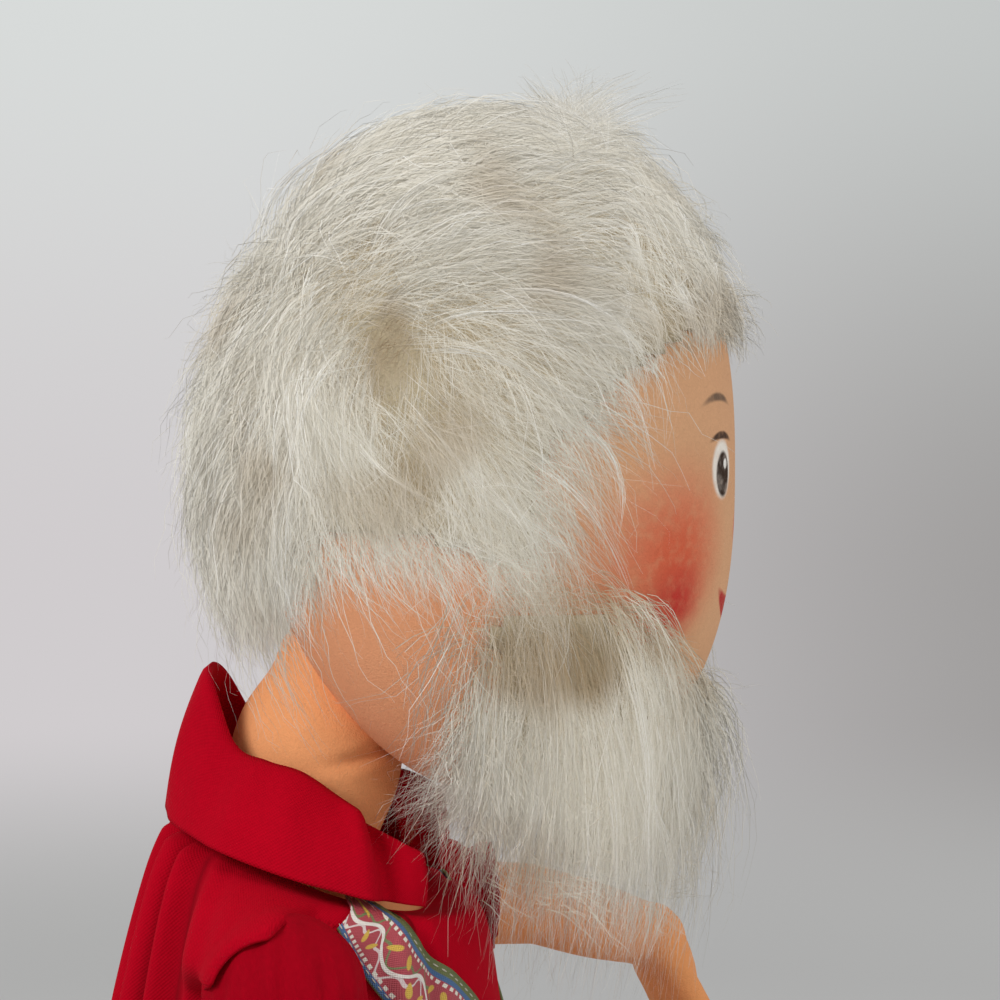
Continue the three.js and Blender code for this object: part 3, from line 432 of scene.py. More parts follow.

# The trousers: red cotton cut as a seat with a gathered waist and two straight legs, each stuffed
# and stitched off at the hip. The legs are tucked into the boots.


def cotton_weave():
    """Plain cotton: warp and weft over and under each other, on the piece's UV map in metres."""
    inputs = {"Colour": "Color", "Thread": 0.0004}
    tree, given = new_group("cotton weave", "ShaderNodeTree", inputs, {"Colour": "Color", "Height": "Float"})
    cloth = add_node(tree, "ShaderNodeUVMap", uv_map="cloth").outputs["UV"]
    parts = add_node(tree, "ShaderNodeSeparateXYZ", {0: cloth})
    waves = []
    for axis in ("X", "Y"):
        turns = math_node(tree, "DIVIDE", parts.outputs[axis], given["Thread"])
        waves.append(math_node(tree, "SINE", math_node(tree, "MULTIPLY", turns, math.pi)))
    crossing = math_node(tree, "MULTIPLY", waves[0], waves[1])
    place = object_place(tree)
    slub = noise_texture(tree, place, 900.0, 3.0)
    fade = noise_texture(tree, place, 45.0, 2.0)
    grain = math_node(tree, "MULTIPLY", crossing, 0.07)
    thick = math_node(tree, "MULTIPLY", math_node(tree, "SUBTRACT", slub, 0.5), 0.22)
    faded = math_node(tree, "MULTIPLY", math_node(tree, "SUBTRACT", fade, 0.5), 0.2)
    value = math_node(tree, "ADD", math_node(tree, "ADD", grain, thick), math_node(tree, "ADD", faded, 1.0))
    tone = add_node(tree, "ShaderNodeHueSaturation", {"Value": value, "Color": given["Colour"]})
    height = math_node(tree, "ADD", crossing, slub)
    add_node(tree, "NodeGroupOutput", {"Colour": tone.outputs[0], "Height": height})
    return tree


weave_group = cotton_weave()


def cotton(name, tone):
    """Cotton with painted shade: its colour is darkened down in its gathers, where a piece has them as its
    valley attribute.
    """
    finish = {
        "Roughness": 0.9,
        "Specular IOR Level": 0.06,
        "Sheen Weight": 0.05,
        "Sheen Tint": tone,
    }
    material, tree, shader = new_material(name, finish)
    weave = add_node(tree, "ShaderNodeGroup", node_tree=weave_group)
    weave.inputs["Colour"].default_value = tone
    # Painted shade: the colour is multiplied darker by the depth into the gathers.
    valley = add_node(tree, "ShaderNodeAttribute", attribute_name="valley").outputs["Fac"]
    painted_fold_shade = mix_colour(tree, 1.0, weave.outputs["Colour"], (0.3, 0.3, 0.3, 1.0), "MULTIPLY")
    toned = mix_colour(tree, ramp(tree, valley, 0.1, 0.9, 0.0, 0.75), weave.outputs["Colour"], painted_fold_shade)
    tree.links.new(toned, shader.inputs["Base Color"])
    add_bump(tree, shader, weave.outputs["Height"], 0.08 * MM, 0.6)
    return material


red_cotton = cotton("red_cotton", colour(174, 0, 26))
trouser_cotton = cotton("trouser_cotton", colour(168, 8, 32))


def seat_rows():
    """The seat over the torso's lower end, gathered at the waist and turned in at its edge."""
    rows = []
    clear = 0.5
    gathers = 44
    heights = [168.2, 168.6, 172, 180, 190, 195.5, 197, 197]
    half_widths = [24, 29, 32.2, 34.2, 36.3, 37.5, 37.6, 35]
    half_depths = [22, 27, 30.2, 32.0, 33.9, 35.0, 35.1, 32.6]
    angle = circle(176)
    for share in np.linspace(0, 1, 40):
        ripple = 0.5 * smoothstep(share, 0.45, 0.8) * np.cos(gathers * angle)
        x = (through(half_widths, share) + clear + ripple) * np.cos(angle)
        y = (through(half_depths, share) + clear + ripple) * np.sin(angle)
        height = np.full_like(x, through(heights, share))
        rows.append(np.stack([x, y, height], axis=1))
    return np.array(rows) * MM + np.array(torso_middle)


seat_mesh = skin_mesh("trouser_seat_cotton", seat_rows(), crown=False)
seat = add_object("trouser_seat_cotton", seat_mesh, trouser_cotton)
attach(seat, "torso")
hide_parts("trouser_seat")


def trouser_leg_rows(hip, knee, seed):
    """A stuffed leg from inside the boot up to the round end at the hip, creased at the knee."""
    hip_radius = 17.3
    boot_depth = 0.048
    boot_top = 0.064
    knee_crease = 0.55
    boot_crease = 0.5
    rise = np.array([48, 56, 62, 70, 78, 90, 104, 120, 136, 150]) * MM
    girth = [15.0, 15.0, 16.0, 16.0, 15.4, 15.1, 16.2, 16.9, 17.2, hip_radius]
    angle = circle(56)
    rows = []
    for height in np.linspace(boot_depth, hip.z, 78):
        share = np.interp(height, rise, np.linspace(0, 1, len(rise)))
        near_knee = math.exp(-(((height - knee.z) / (16 * MM)) ** 2))
        near_boot = math.exp(-(((height - boot_top) / (7 * MM)) ** 2))
        creases = np.sin(height / (3.1 * MM) + 1.4 * np.sin(angle + seed) + seed)
        loose = np.sin(height / (2.3 * MM) + 2.2 * np.sin(2 * angle + seed))
        radius = through(girth, share) + knee_crease * near_knee * creases + boot_crease * near_boot * loose
        x = hip.x / MM + radius * np.cos(angle)
        y = hip.y / MM + radius * np.sin(angle)
        rows.append(level(x, y, height / MM))
    for tilt in np.radians([15, 30, 45, 60, 75, 85]):
        x = hip.x / MM + hip_radius * math.cos(tilt) * np.cos(angle)
        y = hip.y / MM + hip_radius * math.cos(tilt) * np.sin(angle)
        rows.append(level(x, y, hip.z / MM + hip_radius * math.sin(tilt)))
    return np.array(rows) * MM


for side, seed in (("left", 0.7), ("right", 2.9)):
    hip = joint_at[f"{side}_hip"]
    knee = joint_at[f"{side}_knee"]
    name = f"{side}_trouser_leg"
    leg = add_object(name, skin_mesh(name, trouser_leg_rows(hip, knee, seed)), trouser_cotton)
    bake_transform(leg)
    layers = [f"{side}_{half}_{layer}" for half in ("thigh", "shin") for layer in ("trouser", "stuffing")]
    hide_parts(*layers)

# The boots: black felt uppers moulded over the stuffed foot, with a turned edge at the top and a
# thick felt sole sewn on all round with waxed thread.
boot_felt = felt("boot_felt", colour(34, 33, 36), cloud=0.35)
toe_shift = 13


def evaluated_mesh(thing):
    """The plain mesh that an object's modifiers give."""
    graph = bpy.context.evaluated_depsgraph_get()
    return bpy.data.meshes.new_from_object(
        thing.evaluated_get(graph), preserve_all_data_layers=True, depsgraph=graph
    )


def fused(name, meshes, voxel, rounds):
    """Overlapping closed shapes made into one soft skin."""
    shape = bmesh.new()
    for mesh in meshes:
        shape.from_mesh(mesh)
    joined = bpy.data.meshes.new(name)
    shape.to_mesh(joined)
    shape.free()
    made = add_object(name, joined)
    remesh = made.modifiers.new("fuse", "REMESH")
    remesh.mode = "VOXEL"
    remesh.voxel_size = voxel
    relax = made.modifiers.new("relax", "SMOOTH")
    relax.factor = 0.5
    relax.iterations = rounds
    final = evaluated_mesh(made)
    bpy.data.objects.remove(made)
    bpy.data.meshes.remove(joined)
    for mesh in meshes:
        bpy.data.meshes.remove(mesh)
    final.name = name
    final.shade_smooth()
    return final


def stitch_row():
    """Stitches along a curve: a small thread bar at each step, turned along the seam."""
    inputs = {
        "Geometry": "Geometry",
        "Step": "Float",
        "Length": "Float",
        "Thread": "Float",
        "Material": "Material",
    }
    tree, given = new_group("stitch row", "GeometryNodeTree", inputs, {"Geometry": "Geometry"})
    tree.is_modifier = True
    marks = add_node(tree, "GeometryNodeCurveToPoints", {"Curve": given["Geometry"]}, mode="LENGTH")
    tree.links.new(given["Step"], marks.inputs["Length"])
    bead = add_node(tree, "GeometryNodeMeshUVSphere", {"Segments": 6, "Rings": 4, "Radius": 1.0})
    half = math_node(tree, "MULTIPLY", given["Length"], 0.5)
    thick = math_node(tree, "MULTIPLY", given["Thread"], 0.5)
    size = add_node(tree, "ShaderNodeCombineXYZ", {"X": thick, "Y": thick, "Z": half})
    turn = add_node(tree, "FunctionNodeAlignRotationToVector", {"Vector": marks.outputs["Tangent"]}, axis="Z")
    placed = add_node(
        tree,
        "GeometryNodeInstanceOnPoints",
        {
            "Points": marks.outputs["Points"],
            "Instance": bead.outputs["Mesh"],
            "Rotation": turn.outputs[0],
            "Scale": size.outputs[0],
        },
    )
    real = add_node(tree, "GeometryNodeRealizeInstances", {0: placed.outputs[0]})
    finish = add_node(tree, "GeometryNodeSetMaterial", {"Geometry": real.outputs[0]})
    tree.links.new(given["Material"], finish.inputs["Material"])
    add_node(tree, "NodeGroupOutput", {"Geometry": finish.outputs[0]})
    return tree


stitch_tree = stitch_row()


def grown(name, lines, tree, cyclic=False, **values):
    """The plain mesh that a tree makes of lines of points, with the tree's named inputs set."""
    data = bpy.data.curves.new(name, "CURVE")
    data.dimensions = "3D"
    for line in lines:
        line = np.asarray(line, dtype=float)
        spline = data.splines.new("POLY")
        spline.points.add(len(line) - 1)
        spline.points.foreach_set("co", np.concatenate([line, np.ones((len(line), 1))], axis=1).ravel())
        spline.use_cyclic_u = cyclic
    guide = bpy.data.objects.new(name, data)
    scene.collection.objects.link(guide)
    modifier = guide.modifiers.new(tree.name, "NODES")
    modifier.node_group = tree
    for item in tree.interface.items_tree:
        if item.in_out == "INPUT" and item.name in values:
            modifier[item.identifier] = values[item.name]
    mesh = evaluated_mesh(guide)
    bpy.data.objects.remove(guide)
    bpy.data.curves.remove(data)
    mesh.name = name
    return mesh


def thread(name, tone):
    material, tree, shader = new_material(name, {"Roughness": 0.7})
    place = object_place(tree)
    twist = noise_texture(tree, place, 5000.0)
    deep = tuple(0.6 * value for value in tone[:3]) + (1.0,)
    tree.links.new(mix_colour(tree, twist, deep, tone), shader.inputs["Base Color"])
    add_bump(tree, shader, twist, 0.05 * MM)
    return material


waxed_thread = thread("waxed_thread", colour(120, 112, 98))


def foot_shapes(ankle):
    """The stuffed foot and the shaft, as two closed shapes that run into each other."""
    sole_top = 3.5
    foot_middle = (ankle.x / MM, ankle.y / MM - toe_shift, sole_top)
    half = (16.9, 33.9, 26.6)
    bluntness = 0.85
    angle = circle(48)
    foot = []
    for tilt in np.radians([0, 1, 12, 24, 36, 48, 60, 70, 80, 87]):
        x = foot_middle[0] + half[0] * math.cos(tilt) ** bluntness * np.cos(angle)
        y = foot_middle[1] + half[1] * math.cos(tilt) ** bluntness * np.sin(angle)
        foot.append(level(x, y, foot_middle[2] + half[2] * math.sin(tilt)))
    shaft = []
    for height, radius in ((sole_top, 15.6), (20, 15.9), (40, 16.6), (54, 17.4), (58, 17.9), (60.2, 17.2)):
        x = ankle.x / MM + radius * np.cos(angle)
        y = ankle.y / MM + radius * np.sin(angle)
        shaft.append(level(x, y, height))
    return [skin_mesh("foot", np.array(foot) * MM), skin_mesh("shaft", np.array(shaft) * MM)]


def sole_rows(ankle):
    angle = circle(96)
    edge = [(0.0, -1.2), (0.15, -0.5), (0.6, -0.05), (1.5, 0.0), (2.4, -0.05), (2.85, -0.5), (3.0, -1.2)]
    half_width = 17.8
    half_length = 34.8
    rows = []
    for height, inset in edge:
        x = ankle.x / MM + (half_width + inset) * np.cos(angle)
        y = ankle.y / MM - toe_shift + (half_length + inset) * np.sin(angle)
        rows.append(level(x, y, height))
    return np.array(rows) * MM


def seam_loop(middle, half, height, count=160):
    angle = circle(count)
    x = middle[0] + half[0] * np.cos(angle)
    y = middle[1] + half[1] * np.sin(angle)
    return level(x, y, height)


for side in ("left", "right"):
    ankle = joint_at[f"{side}_knee"]
    upper = add_object(f"{side}_boot", fused(f"{side}_boot", foot_shapes(ankle), 1.1 * MM, 8), boot_felt)
    sole = add_object(f"{side}_sole", skin_mesh(f"{side}_sole", sole_rows(ankle)), boot_felt)
    middle = (ankle.x, ankle.y - toe_shift * MM)
    loops = [
        seam_loop(middle, (17.3 * MM, 34.3 * MM), 3.5 * MM),
        seam_loop((ankle.x, ankle.y), (17.9 * MM, 17.9 * MM), 56.5 * MM),
    ]
    sizes = {"Step": 3.2 * MM, "Length": 2.2 * MM, "Thread": 0.7 * MM, "Material": waxed_thread}
    name = f"{side}_boot_stitches"
    seam = add_object(name, grown(name, loops, stitch_tree, True, **sizes))
    for piece in (upper, sole, seam):
        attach(piece, f"{side}_shin")
    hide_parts(f"{side}_boot_upper", f"{side}_boot_stuffing")
    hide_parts(f"{side}_boot_sole")

# The arms: tubes of peach felt with mitten-like hands of four short fingers and a thumb, stuffed
# round a wire. The left one reaches forward with its hand drooping.
hand_felt = felt("hand_felt", colour(232, 156, 100))
upper_length = 42
arm_spread = Matrix.Rotation(math.radians(-18), 4, "Y")


def limb_mesh(line, radii, around=24, ends=5):
    """A stuffed tube along a line of points, with round ends."""
    line = np.asarray(line, dtype=float)
    radii = np.asarray(radii, dtype=float)
    along = np.gradient(line, axis=0)
    along /= np.linalg.norm(along, axis=1)[:, None]
    side = np.cross(along, (0.0, 1.0, 0.0))
    side /= np.linalg.norm(side, axis=1)[:, None]
    front = np.cross(along, side)
    angle = circle(around)
    tilts = np.linspace(85, 15, ends)
    stops = [(0, -math.sin(math.radians(t)), math.cos(math.radians(t))) for t in tilts]
    stops += [(n, 0.0, 1.0) for n in range(len(line))]
    stops += [(len(line) - 1, math.sin(math.radians(t)), math.cos(math.radians(t))) for t in tilts[::-1]]
    rows = []
    for n, shift, share in stops:
        middle = line[n] + along[n] * shift * radii[n]
        ring = np.cos(angle)[:, None] * side[n] + np.sin(angle)[:, None] * front[n]
        rows.append(middle + ring * radii[n] * share)
    return skin_mesh("limb", rows)


def arm_shapes(wrist_droop):
    """Upper arm, and forearm with its hand, hanging down from the shoulder and from the elbow."""
    fore_length = 30
    upper_share = np.linspace(0, 1, 14)
    upper_line = np.stack([0 * upper_share, 0 * upper_share, -upper_length * upper_share], axis=1)
    upper = limb_mesh(upper_line, through([11.3, 9.8, 8.9], upper_share))
    fore_share = np.linspace(0, 1, 12)
    fore_line = np.stack([0 * fore_share, 0 * fore_share, -fore_length * fore_share], axis=1)
    forearm = limb_mesh(fore_line, through([8.6, 8.5, 6.9], fore_share))
    hand = []
    palm_share = np.linspace(0, 1, 8)
    for aside in (-4.6, 0.0, 4.6):
        line = np.stack([aside * np.sqrt(palm_share), 0 * palm_share, 2 - 17 * palm_share], axis=1)
        hand.append(limb_mesh(line, through([6.0, 6.3, 5.0], palm_share)))
    finger_share = np.linspace(0, 1, 7)
    for number, length in enumerate((11.0, 13.0, 12.5, 10.5)):
        aside = (number - 1.5) * 5.5
        fan = aside * 0.16
        curl = -3.2 * finger_share**2
        line = np.stack([aside + fan * finger_share, curl, -16.0 - length * finger_share], axis=1)
        hand.append(limb_mesh(line, through([3.5, 3.5, 3.2], finger_share), 16))
    thumb_line = np.stack([-6 - 9.5 * finger_share, -1.5 * finger_share, -5 - 8.5 * finger_share], axis=1)
    hand.append(limb_mesh(thumb_line, through([4.2, 3.9, 3.4], finger_share), 16))
    droop = Matrix.Translation((0, 0, -fore_length)) @ Matrix.Rotation(math.radians(wrist_droop), 4, "X")
    for mesh in hand:
        mesh.transform(droop)
    return upper, [forearm, *hand]


def arm_mesh(side, direction, swing, elbow_bend, wrist_droop):
    swung = Matrix.Rotation(math.radians(-swing), 4, "X")
    bent = Matrix.Rotation(math.radians(-elbow_bend), 4, "X")
    elbow_place = Matrix.Translation(arm_spread @ Vector((0, 0, -upper_length)))
    mirror = Matrix.Diagonal((direction, 1, 1, 1))
    shoulder = Matrix.Translation(joint_at[f"{side}_shoulder"]) @ Matrix.Scale(MM, 4)
    upper, lower = arm_shapes(wrist_droop)
    upper.transform(shoulder @ mirror @ swung @ arm_spread)
    for mesh in lower:
        mesh.transform(shoulder @ mirror @ swung @ elbow_place @ bent @ arm_spread)
    shapes = [upper, *lower]
    if direction < 0:
        for mesh in shapes:
            mesh.flip_normals()
    return fused(f"{side}_arm", shapes, 0.75 * MM, 9)


for side, direction, swing, elbow_bend, droop in (("left", 1, 86, -14, 54), ("right", -1, 6, 14, 10)):
    arm = add_object(f"{side}_arm", arm_mesh(side, direction, swing, elbow_bend, droop), hand_felt)
    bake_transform(arm)
    layers = [f"{side}_{half}_{layer}" for half in ("upper_arm", "forearm") for layer in ("skin", "stuffing")]
    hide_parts(*layers)

# The neck: a short fat roll of peach felt, stuffed tight, so that it bulges over the collar and
# creases where it is sewn under the chin.
neck_tilt = math.radians(10)
neck_length = 32


def neck_rows():
    base_radius = 14.4
    top_radius = 12.4
    crease = 0.55
    angle = circle(72)
    stops = [(-math.sin(t) * base_radius, math.cos(t) * base_radius) for t in np.radians([80, 60, 40, 20])]
    share = np.linspace(0, 1, 40)
    stops += list(zip(share * neck_length, through([base_radius, 17.2, 16.4, top_radius], share)))
    domes = np.radians([20, 40, 60, 80])
    stops += [(neck_length + math.sin(t) * top_radius, math.cos(t) * top_radius) for t in domes]
    rows = []
    for height, radius in stops:
        fold = np.exp(-(((height - crease * neck_length + 3.2 * np.cos(2 * angle + 0.4)) / 1.5) ** 2))
        front = smoothstep(-np.sin(angle), -0.1, 0.75)
        bulge = 0.7 * np.cos(3 * angle + height / 9)
        ring = radius + (bulge - 1.5 * fold * front) * smoothstep(radius, 10, 14)
        rows.append(level(ring * np.cos(angle), ring * np.sin(angle), height))
    return np.array(rows) * MM


neck_mesh = skin_mesh("neck_felt", neck_rows())
neck_mesh.transform(Matrix.Translation(joint_at["neck_nod"]) @ Matrix.Rotation(neck_tilt, 4, "X"))
neck = add_object("neck_felt", neck_mesh, felt("neck_felt", colour(240, 164, 110)))
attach(neck, "neck")
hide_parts("neck_skin", "neck_stuffing")

# The head: a felt face drawn over a stiff mask and sewn to a felt back in front of the ears. The
# features are painted on the felt: dark eyes, brows, blushed cheeks, a nose and a smiling mouth.
face_low, face_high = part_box("face_felt")
rear_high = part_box("head_back_felt")[1]
head_depth = rear_high.y - face_low.y
face_share = 0.52
head_front = head_depth * face_share
head_back = head_depth - head_front
head_half_width = (face_high.x - face_low.x) / 2
head_half_height = (face_high.z - face_low.z) / 2 + 0.6 * MM
head_middle = np.array(
    (
        (face_low.x + face_high.x) / 2,
        face_low.y + head_front,
        (face_low.z + face_high.z) / 2,
    )
)


def head_level(p):
    """1 on the head's surface, less inside and more outside, for points from the head's middle."""
    cheeks = 2.2
    face_flatness = 2.6
    nape_slope = 1.7
    crown = 2.0
    across = (p[:, 0] / head_half_width) ** 2
    depth = np.where(p[:, 1] < 0, head_front, head_back)
    deep = (p[:, 1] / depth) ** 2
    toward = deep / (across + deep + 1e-9)
    profile = np.where(p[:, 1] < 0, face_flatness, np.where(p[:, 2] < 0, nape_slope, crown))
    power = cheeks + (profile - cheeks) * toward
    flat = np.sqrt(across + deep) ** power
    tall = np.abs(p[:, 2] / head_half_height) ** power
    return (flat + tall) ** (1 / power)


def head_rows():
    seam_place = 3.0 * MM
    seam_width = 0.8 * MM
    seam_depth = 0.012
    angle = circle(120)
    rows = []
    for polar in np.linspace(0.02, 0.98, 84) * np.pi:
        flat = math.sin(polar)
        x = head_half_width * flat * np.cos(angle)
        y = np.where(np.sin(angle) < 0, head_front, head_back) * flat * np.sin(angle)
        p = level(x, y, -head_half_height * math.cos(polar))
        p /= head_level(p)[:, None]
        groove = seam_depth * np.exp(-(((p[:, 1] - seam_place) / seam_width) ** 2))
        rows.append(p * (1 - groove)[:, None] + head_middle)
    return np.array(rows)


def painted_dab():
    """A soft oval of paint on the face, seen from the front: 1 inside, fading to 0 at its edge."""
    inputs = {"Place": "Vector", "Middle": "Vector", "Half Size": "Vector", "Bend": "Float", "Soft": 0.2}
    tree, given = new_group("painted dab", "ShaderNodeTree", inputs, {"Mask": "Float"})
    shift = vector_node(tree, "SUBTRACT", given["Place"], given["Middle"])
    within = vector_node(tree, "DIVIDE", shift, given["Half Size"])
    parts = add_node(tree, "ShaderNodeSeparateXYZ", {0: within}).outputs
    across = math_node(tree, "MULTIPLY", parts["X"], parts["X"])
    bent = math_node(tree, "SUBTRACT", parts["Z"], math_node(tree, "MULTIPLY", across, given["Bend"]))
    reach = math_node(tree, "ADD", across, math_node(tree, "MULTIPLY", bent, bent))
    reach = math_node(tree, "SQRT", reach)
    edge = math_node(tree, "SUBTRACT", 1.0, given["Soft"])
    mask = add_node(tree, "ShaderNodeMapRange", {0: reach, 1: 1.0, 2: edge}, interpolation_type="SMOOTHSTEP")
    add_node(tree, "NodeGroupOutput", {"Mask": mask.outputs[0]})
    return tree


dab_group = painted_dab()


def painted_face(tree):
    """The face's colours from the felt up. Places are across and up from the head's middle."""
    place = object_place(tree)
    around = vector_node(tree, "SUBTRACT", place, tuple(head_middle))
    parts = add_node(tree, "ShaderNodeSeparateXYZ", {0: around}).outputs
    in_front = ramp(tree, parts["Y"], -8 * MM, -18 * MM)
    brush = noise_texture(tree, place, 420.0, 3.0)
    base = mix_colour(tree, in_front, colour(226, 158, 116), colour(214, 164, 124))
    layers = []
    for side in (-1, 1):
        layers.append(((29 * side, -15), (19, 24), 0.0, 1.0, colour(214, 96, 66)))
        layers.append(((27 * side, -24), (9, 11), 0.0, 1.0, colour(196, 52, 46)))
        layers.append(((15 * side, 1), (5.2, 6.4), 0.0, 0.25, colour(238, 232, 222)))
        layers.append(((14.6 * side, 0), (3.6, 4.9), 0.0, 0.2, colour(30, 24, 22)))
        layers.append(((13.4 * side, 2), (1.1, 1.2), 0.0, 0.4, colour(250, 248, 242)))
        layers.append(((15 * side, 7.6), (6.2, 1.0), -1.6, 0.5, colour(58, 44, 38)))
        layers.append(((16 * side, 15), (7.6, 1.1), -2.0, 0.6, colour(112, 92, 76)))
    layers.append(((0, -11), (5.6, 4.6), 0.0, 0.7, colour(206, 104, 84)))
    layers.append(((0, -27), (13.5, 2.6), 1.9, 0.25, colour(178, 36, 42)))
    tone = base
    for middle, half, bend, soft, paint in layers:
        dab = add_node(tree, "ShaderNodeGroup", node_tree=dab_group)
        tree.links.new(around, dab.inputs["Place"])
        dab.inputs["Middle"].default_value = (middle[0] * MM, 0.0, middle[1] * MM)
        dab.inputs["Half Size"].default_value = (half[0] * MM, 1.0, half[1] * MM)
        dab.inputs["Bend"].default_value = bend
        dab.inputs["Soft"].default_value = soft
        worn = math_node(tree, "MULTIPLY", dab.outputs["Mask"], ramp(tree, brush, 0.15, 0.6, 0.6, 1.0))
        tone = mix_colour(tree, math_node(tree, "MULTIPLY", worn, in_front), tone, paint)
    return tone


face_felt = felt("painted_face_felt", colour(206, 156, 121), cloud=0.1, paint=painted_face)
head = add_object("head_felt", skin_mesh("head_felt", head_rows()), face_felt)
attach(head, "head")
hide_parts("face_felt", "head_back_felt", "head_stuffing")

# The smock: red cotton gathered on to the neckline and hanging loose to the hips, open down the
# front under the ribbons. The sleeves are short puffs, drawn in by elastic above a frill.
neckline_height = 305
hem_height = 173


def smock_valleys(angle, share):
    """How far into a gather the cloth is, from 0 to about 1; it is drawn flat round the armholes."""
    count = 15
    depth = np.zeros_like(angle)
    for number in range(count):
        middle = 2 * math.pi * number / count + 0.15 * math.sin(5.1 * number)
        width = (0.07 + 0.02 * math.sin(2.3 * number)) * (0.8 + 0.7 * share)
        apart = (angle - middle + math.pi) % (2 * math.pi) - math.pi
        depth += (0.8 + 0.2 * math.sin(1.7 * number)) * np.exp(-((apart / width) ** 2))
    at_armhole = smoothstep(np.abs(np.cos(angle)), 0.8, 0.95) * smoothstep(share, 0.6, 0.35)
    return depth * (1 - at_armhole) * smoothstep(share, 0.02, 0.14)


def smock_surface(angle, share, lift=0.0, gathered=1.0):
    """The smock's face at shares from the neckline (0) to the hem (1), in millimetres."""
    fullness = 3.6
    valley_depth = 4.8
    hem_wave = 3.2
    across = through([26, 37, 39.4, 43.5, 50], share)
    front = through([22, 33, 38, 46, 53], share)
    back = through([24, 30, 38, 46, 53], share)
    height = through([neckline_height, 299, 270, 222, hem_height], share)
    slope = through([0.4, 0.12, 0, 0, 0], share)
    from_front = np.arccos(np.clip(-np.sin(angle), -1, 1))
    full = smoothstep(from_front, math.radians(32), math.radians(58))
    main = hem_wave * share * np.cos(12 * angle)
    small = 0.8 * np.cos(29 * angle + 2.0 * np.sin(5 * angle))
    drawn_in = smoothstep(share, 0.02, 0.14) * (fullness + small)
    fold = full * (main + gathered * (drawn_in - valley_depth * smock_valleys(angle, share)))
    beside_arm = smoothstep(np.abs(np.cos(angle)), 0.75, 0.95) * smoothstep(share, 0.8, 0.5)
    fold = fold * (1 - 0.7 * beside_arm)
    y = (np.where(np.sin(angle) < 0, front, back) + fold + lift) * np.sin(angle)
    x = (across + fold + lift) * np.cos(angle)
    z = height + slope * y + lift * np.maximum(0, 1 - 5 * share)
    return np.stack([x, y, z], axis=-1)


def drop_shoulders(shape):
    """Carry the cloth out over the sleeve heads, at the top and the back where no arm swings."""
    sleeve_head = 16.3 * MM
    drop = 18 * MM
    armhole = 13 * MM
    farthest = 34 * MM
    for side, direction in (("left", 1), ("right", -1)):
        joint = joint_at[f"{side}_shoulder"]
        for vertex in shape.verts:
            gap = vertex.co - joint
            if abs(gap.x) > 24 * MM:
                continue
            far = math.hypot(gap.y, gap.z)
            up_and_back = (0.64 * gap.y + 0.77 * gap.z) / far
            share = smoothstep(up_and_back, 0.5, 0.87) * smoothstep(abs(gap.x), 21 * MM, 10 * MM)
            gap.x += direction * drop * share * smoothstep(far, farthest, armhole)
            if share > 0 and gap.length < sleeve_head:
                gap *= 1 + share * (sleeve_head / gap.length - 1)
            vertex.co = joint + gap


def smock_mesh():
    columns = 240
    angle = circle(columns)
    shares = np.linspace(1, 0, 84) ** 1.35
    rows = [smock_surface(angle, np.full_like(angle, share)) for share in shares]
    mesh = skin_mesh("smock", np.array(rows) * MM + np.array(torso_middle), foot=False, crown=False)
    # The depth into each gather, away from the front, is kept as the valley attribute, which paints shade
    # into the cotton's colour there.
    valleys = [smock_valleys(angle, np.full_like(angle, share)) * (np.sin(angle) > -0.7) for share in shares]
    mesh.attributes.new("valley", "FLOAT", "POINT").data.foreach_set("value", np.concatenate(valleys))
    room = 13.0 * MM
    rim_inset = 7.2 * MM
    shape = bmesh.new()
    shape.from_mesh(mesh)
    inside = set()
    for side, direction in (("left", 1), ("right", -1)):
        joint = joint_at[f"{side}_shoulder"]
        for vertex in shape.verts:
            gap = vertex.co - joint
            if gap.length < room * 1.6 and math.hypot(gap.y, gap.z) < room:
                inside.add(vertex)
                flat = Vector((0, gap.y, gap.z)).normalized() * room
                vertex.co = joint + flat - Vector((direction * rim_inset, 0, 0))
    holes = [face for face in shape.faces if all(vertex in inside for vertex in face.verts)]
    bmesh.ops.delete(shape, geom=holes, context="FACES")
    drop_shoulders(shape)
    shape.to_mesh(mesh)
    shape.free()
    mesh.shade_smooth()
    return mesh


def thicken(piece, thickness, offset=-1.0):
    modifier = piece.modifiers.new("thickness", "SOLIDIFY")
    modifier.thickness = thickness
    modifier.offset = offset


smock = add_object("smock", smock_mesh(), red_cotton)
thicken(smock, 0.8 * MM)
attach(smock, "torso")
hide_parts("smock_front", "smock_back")


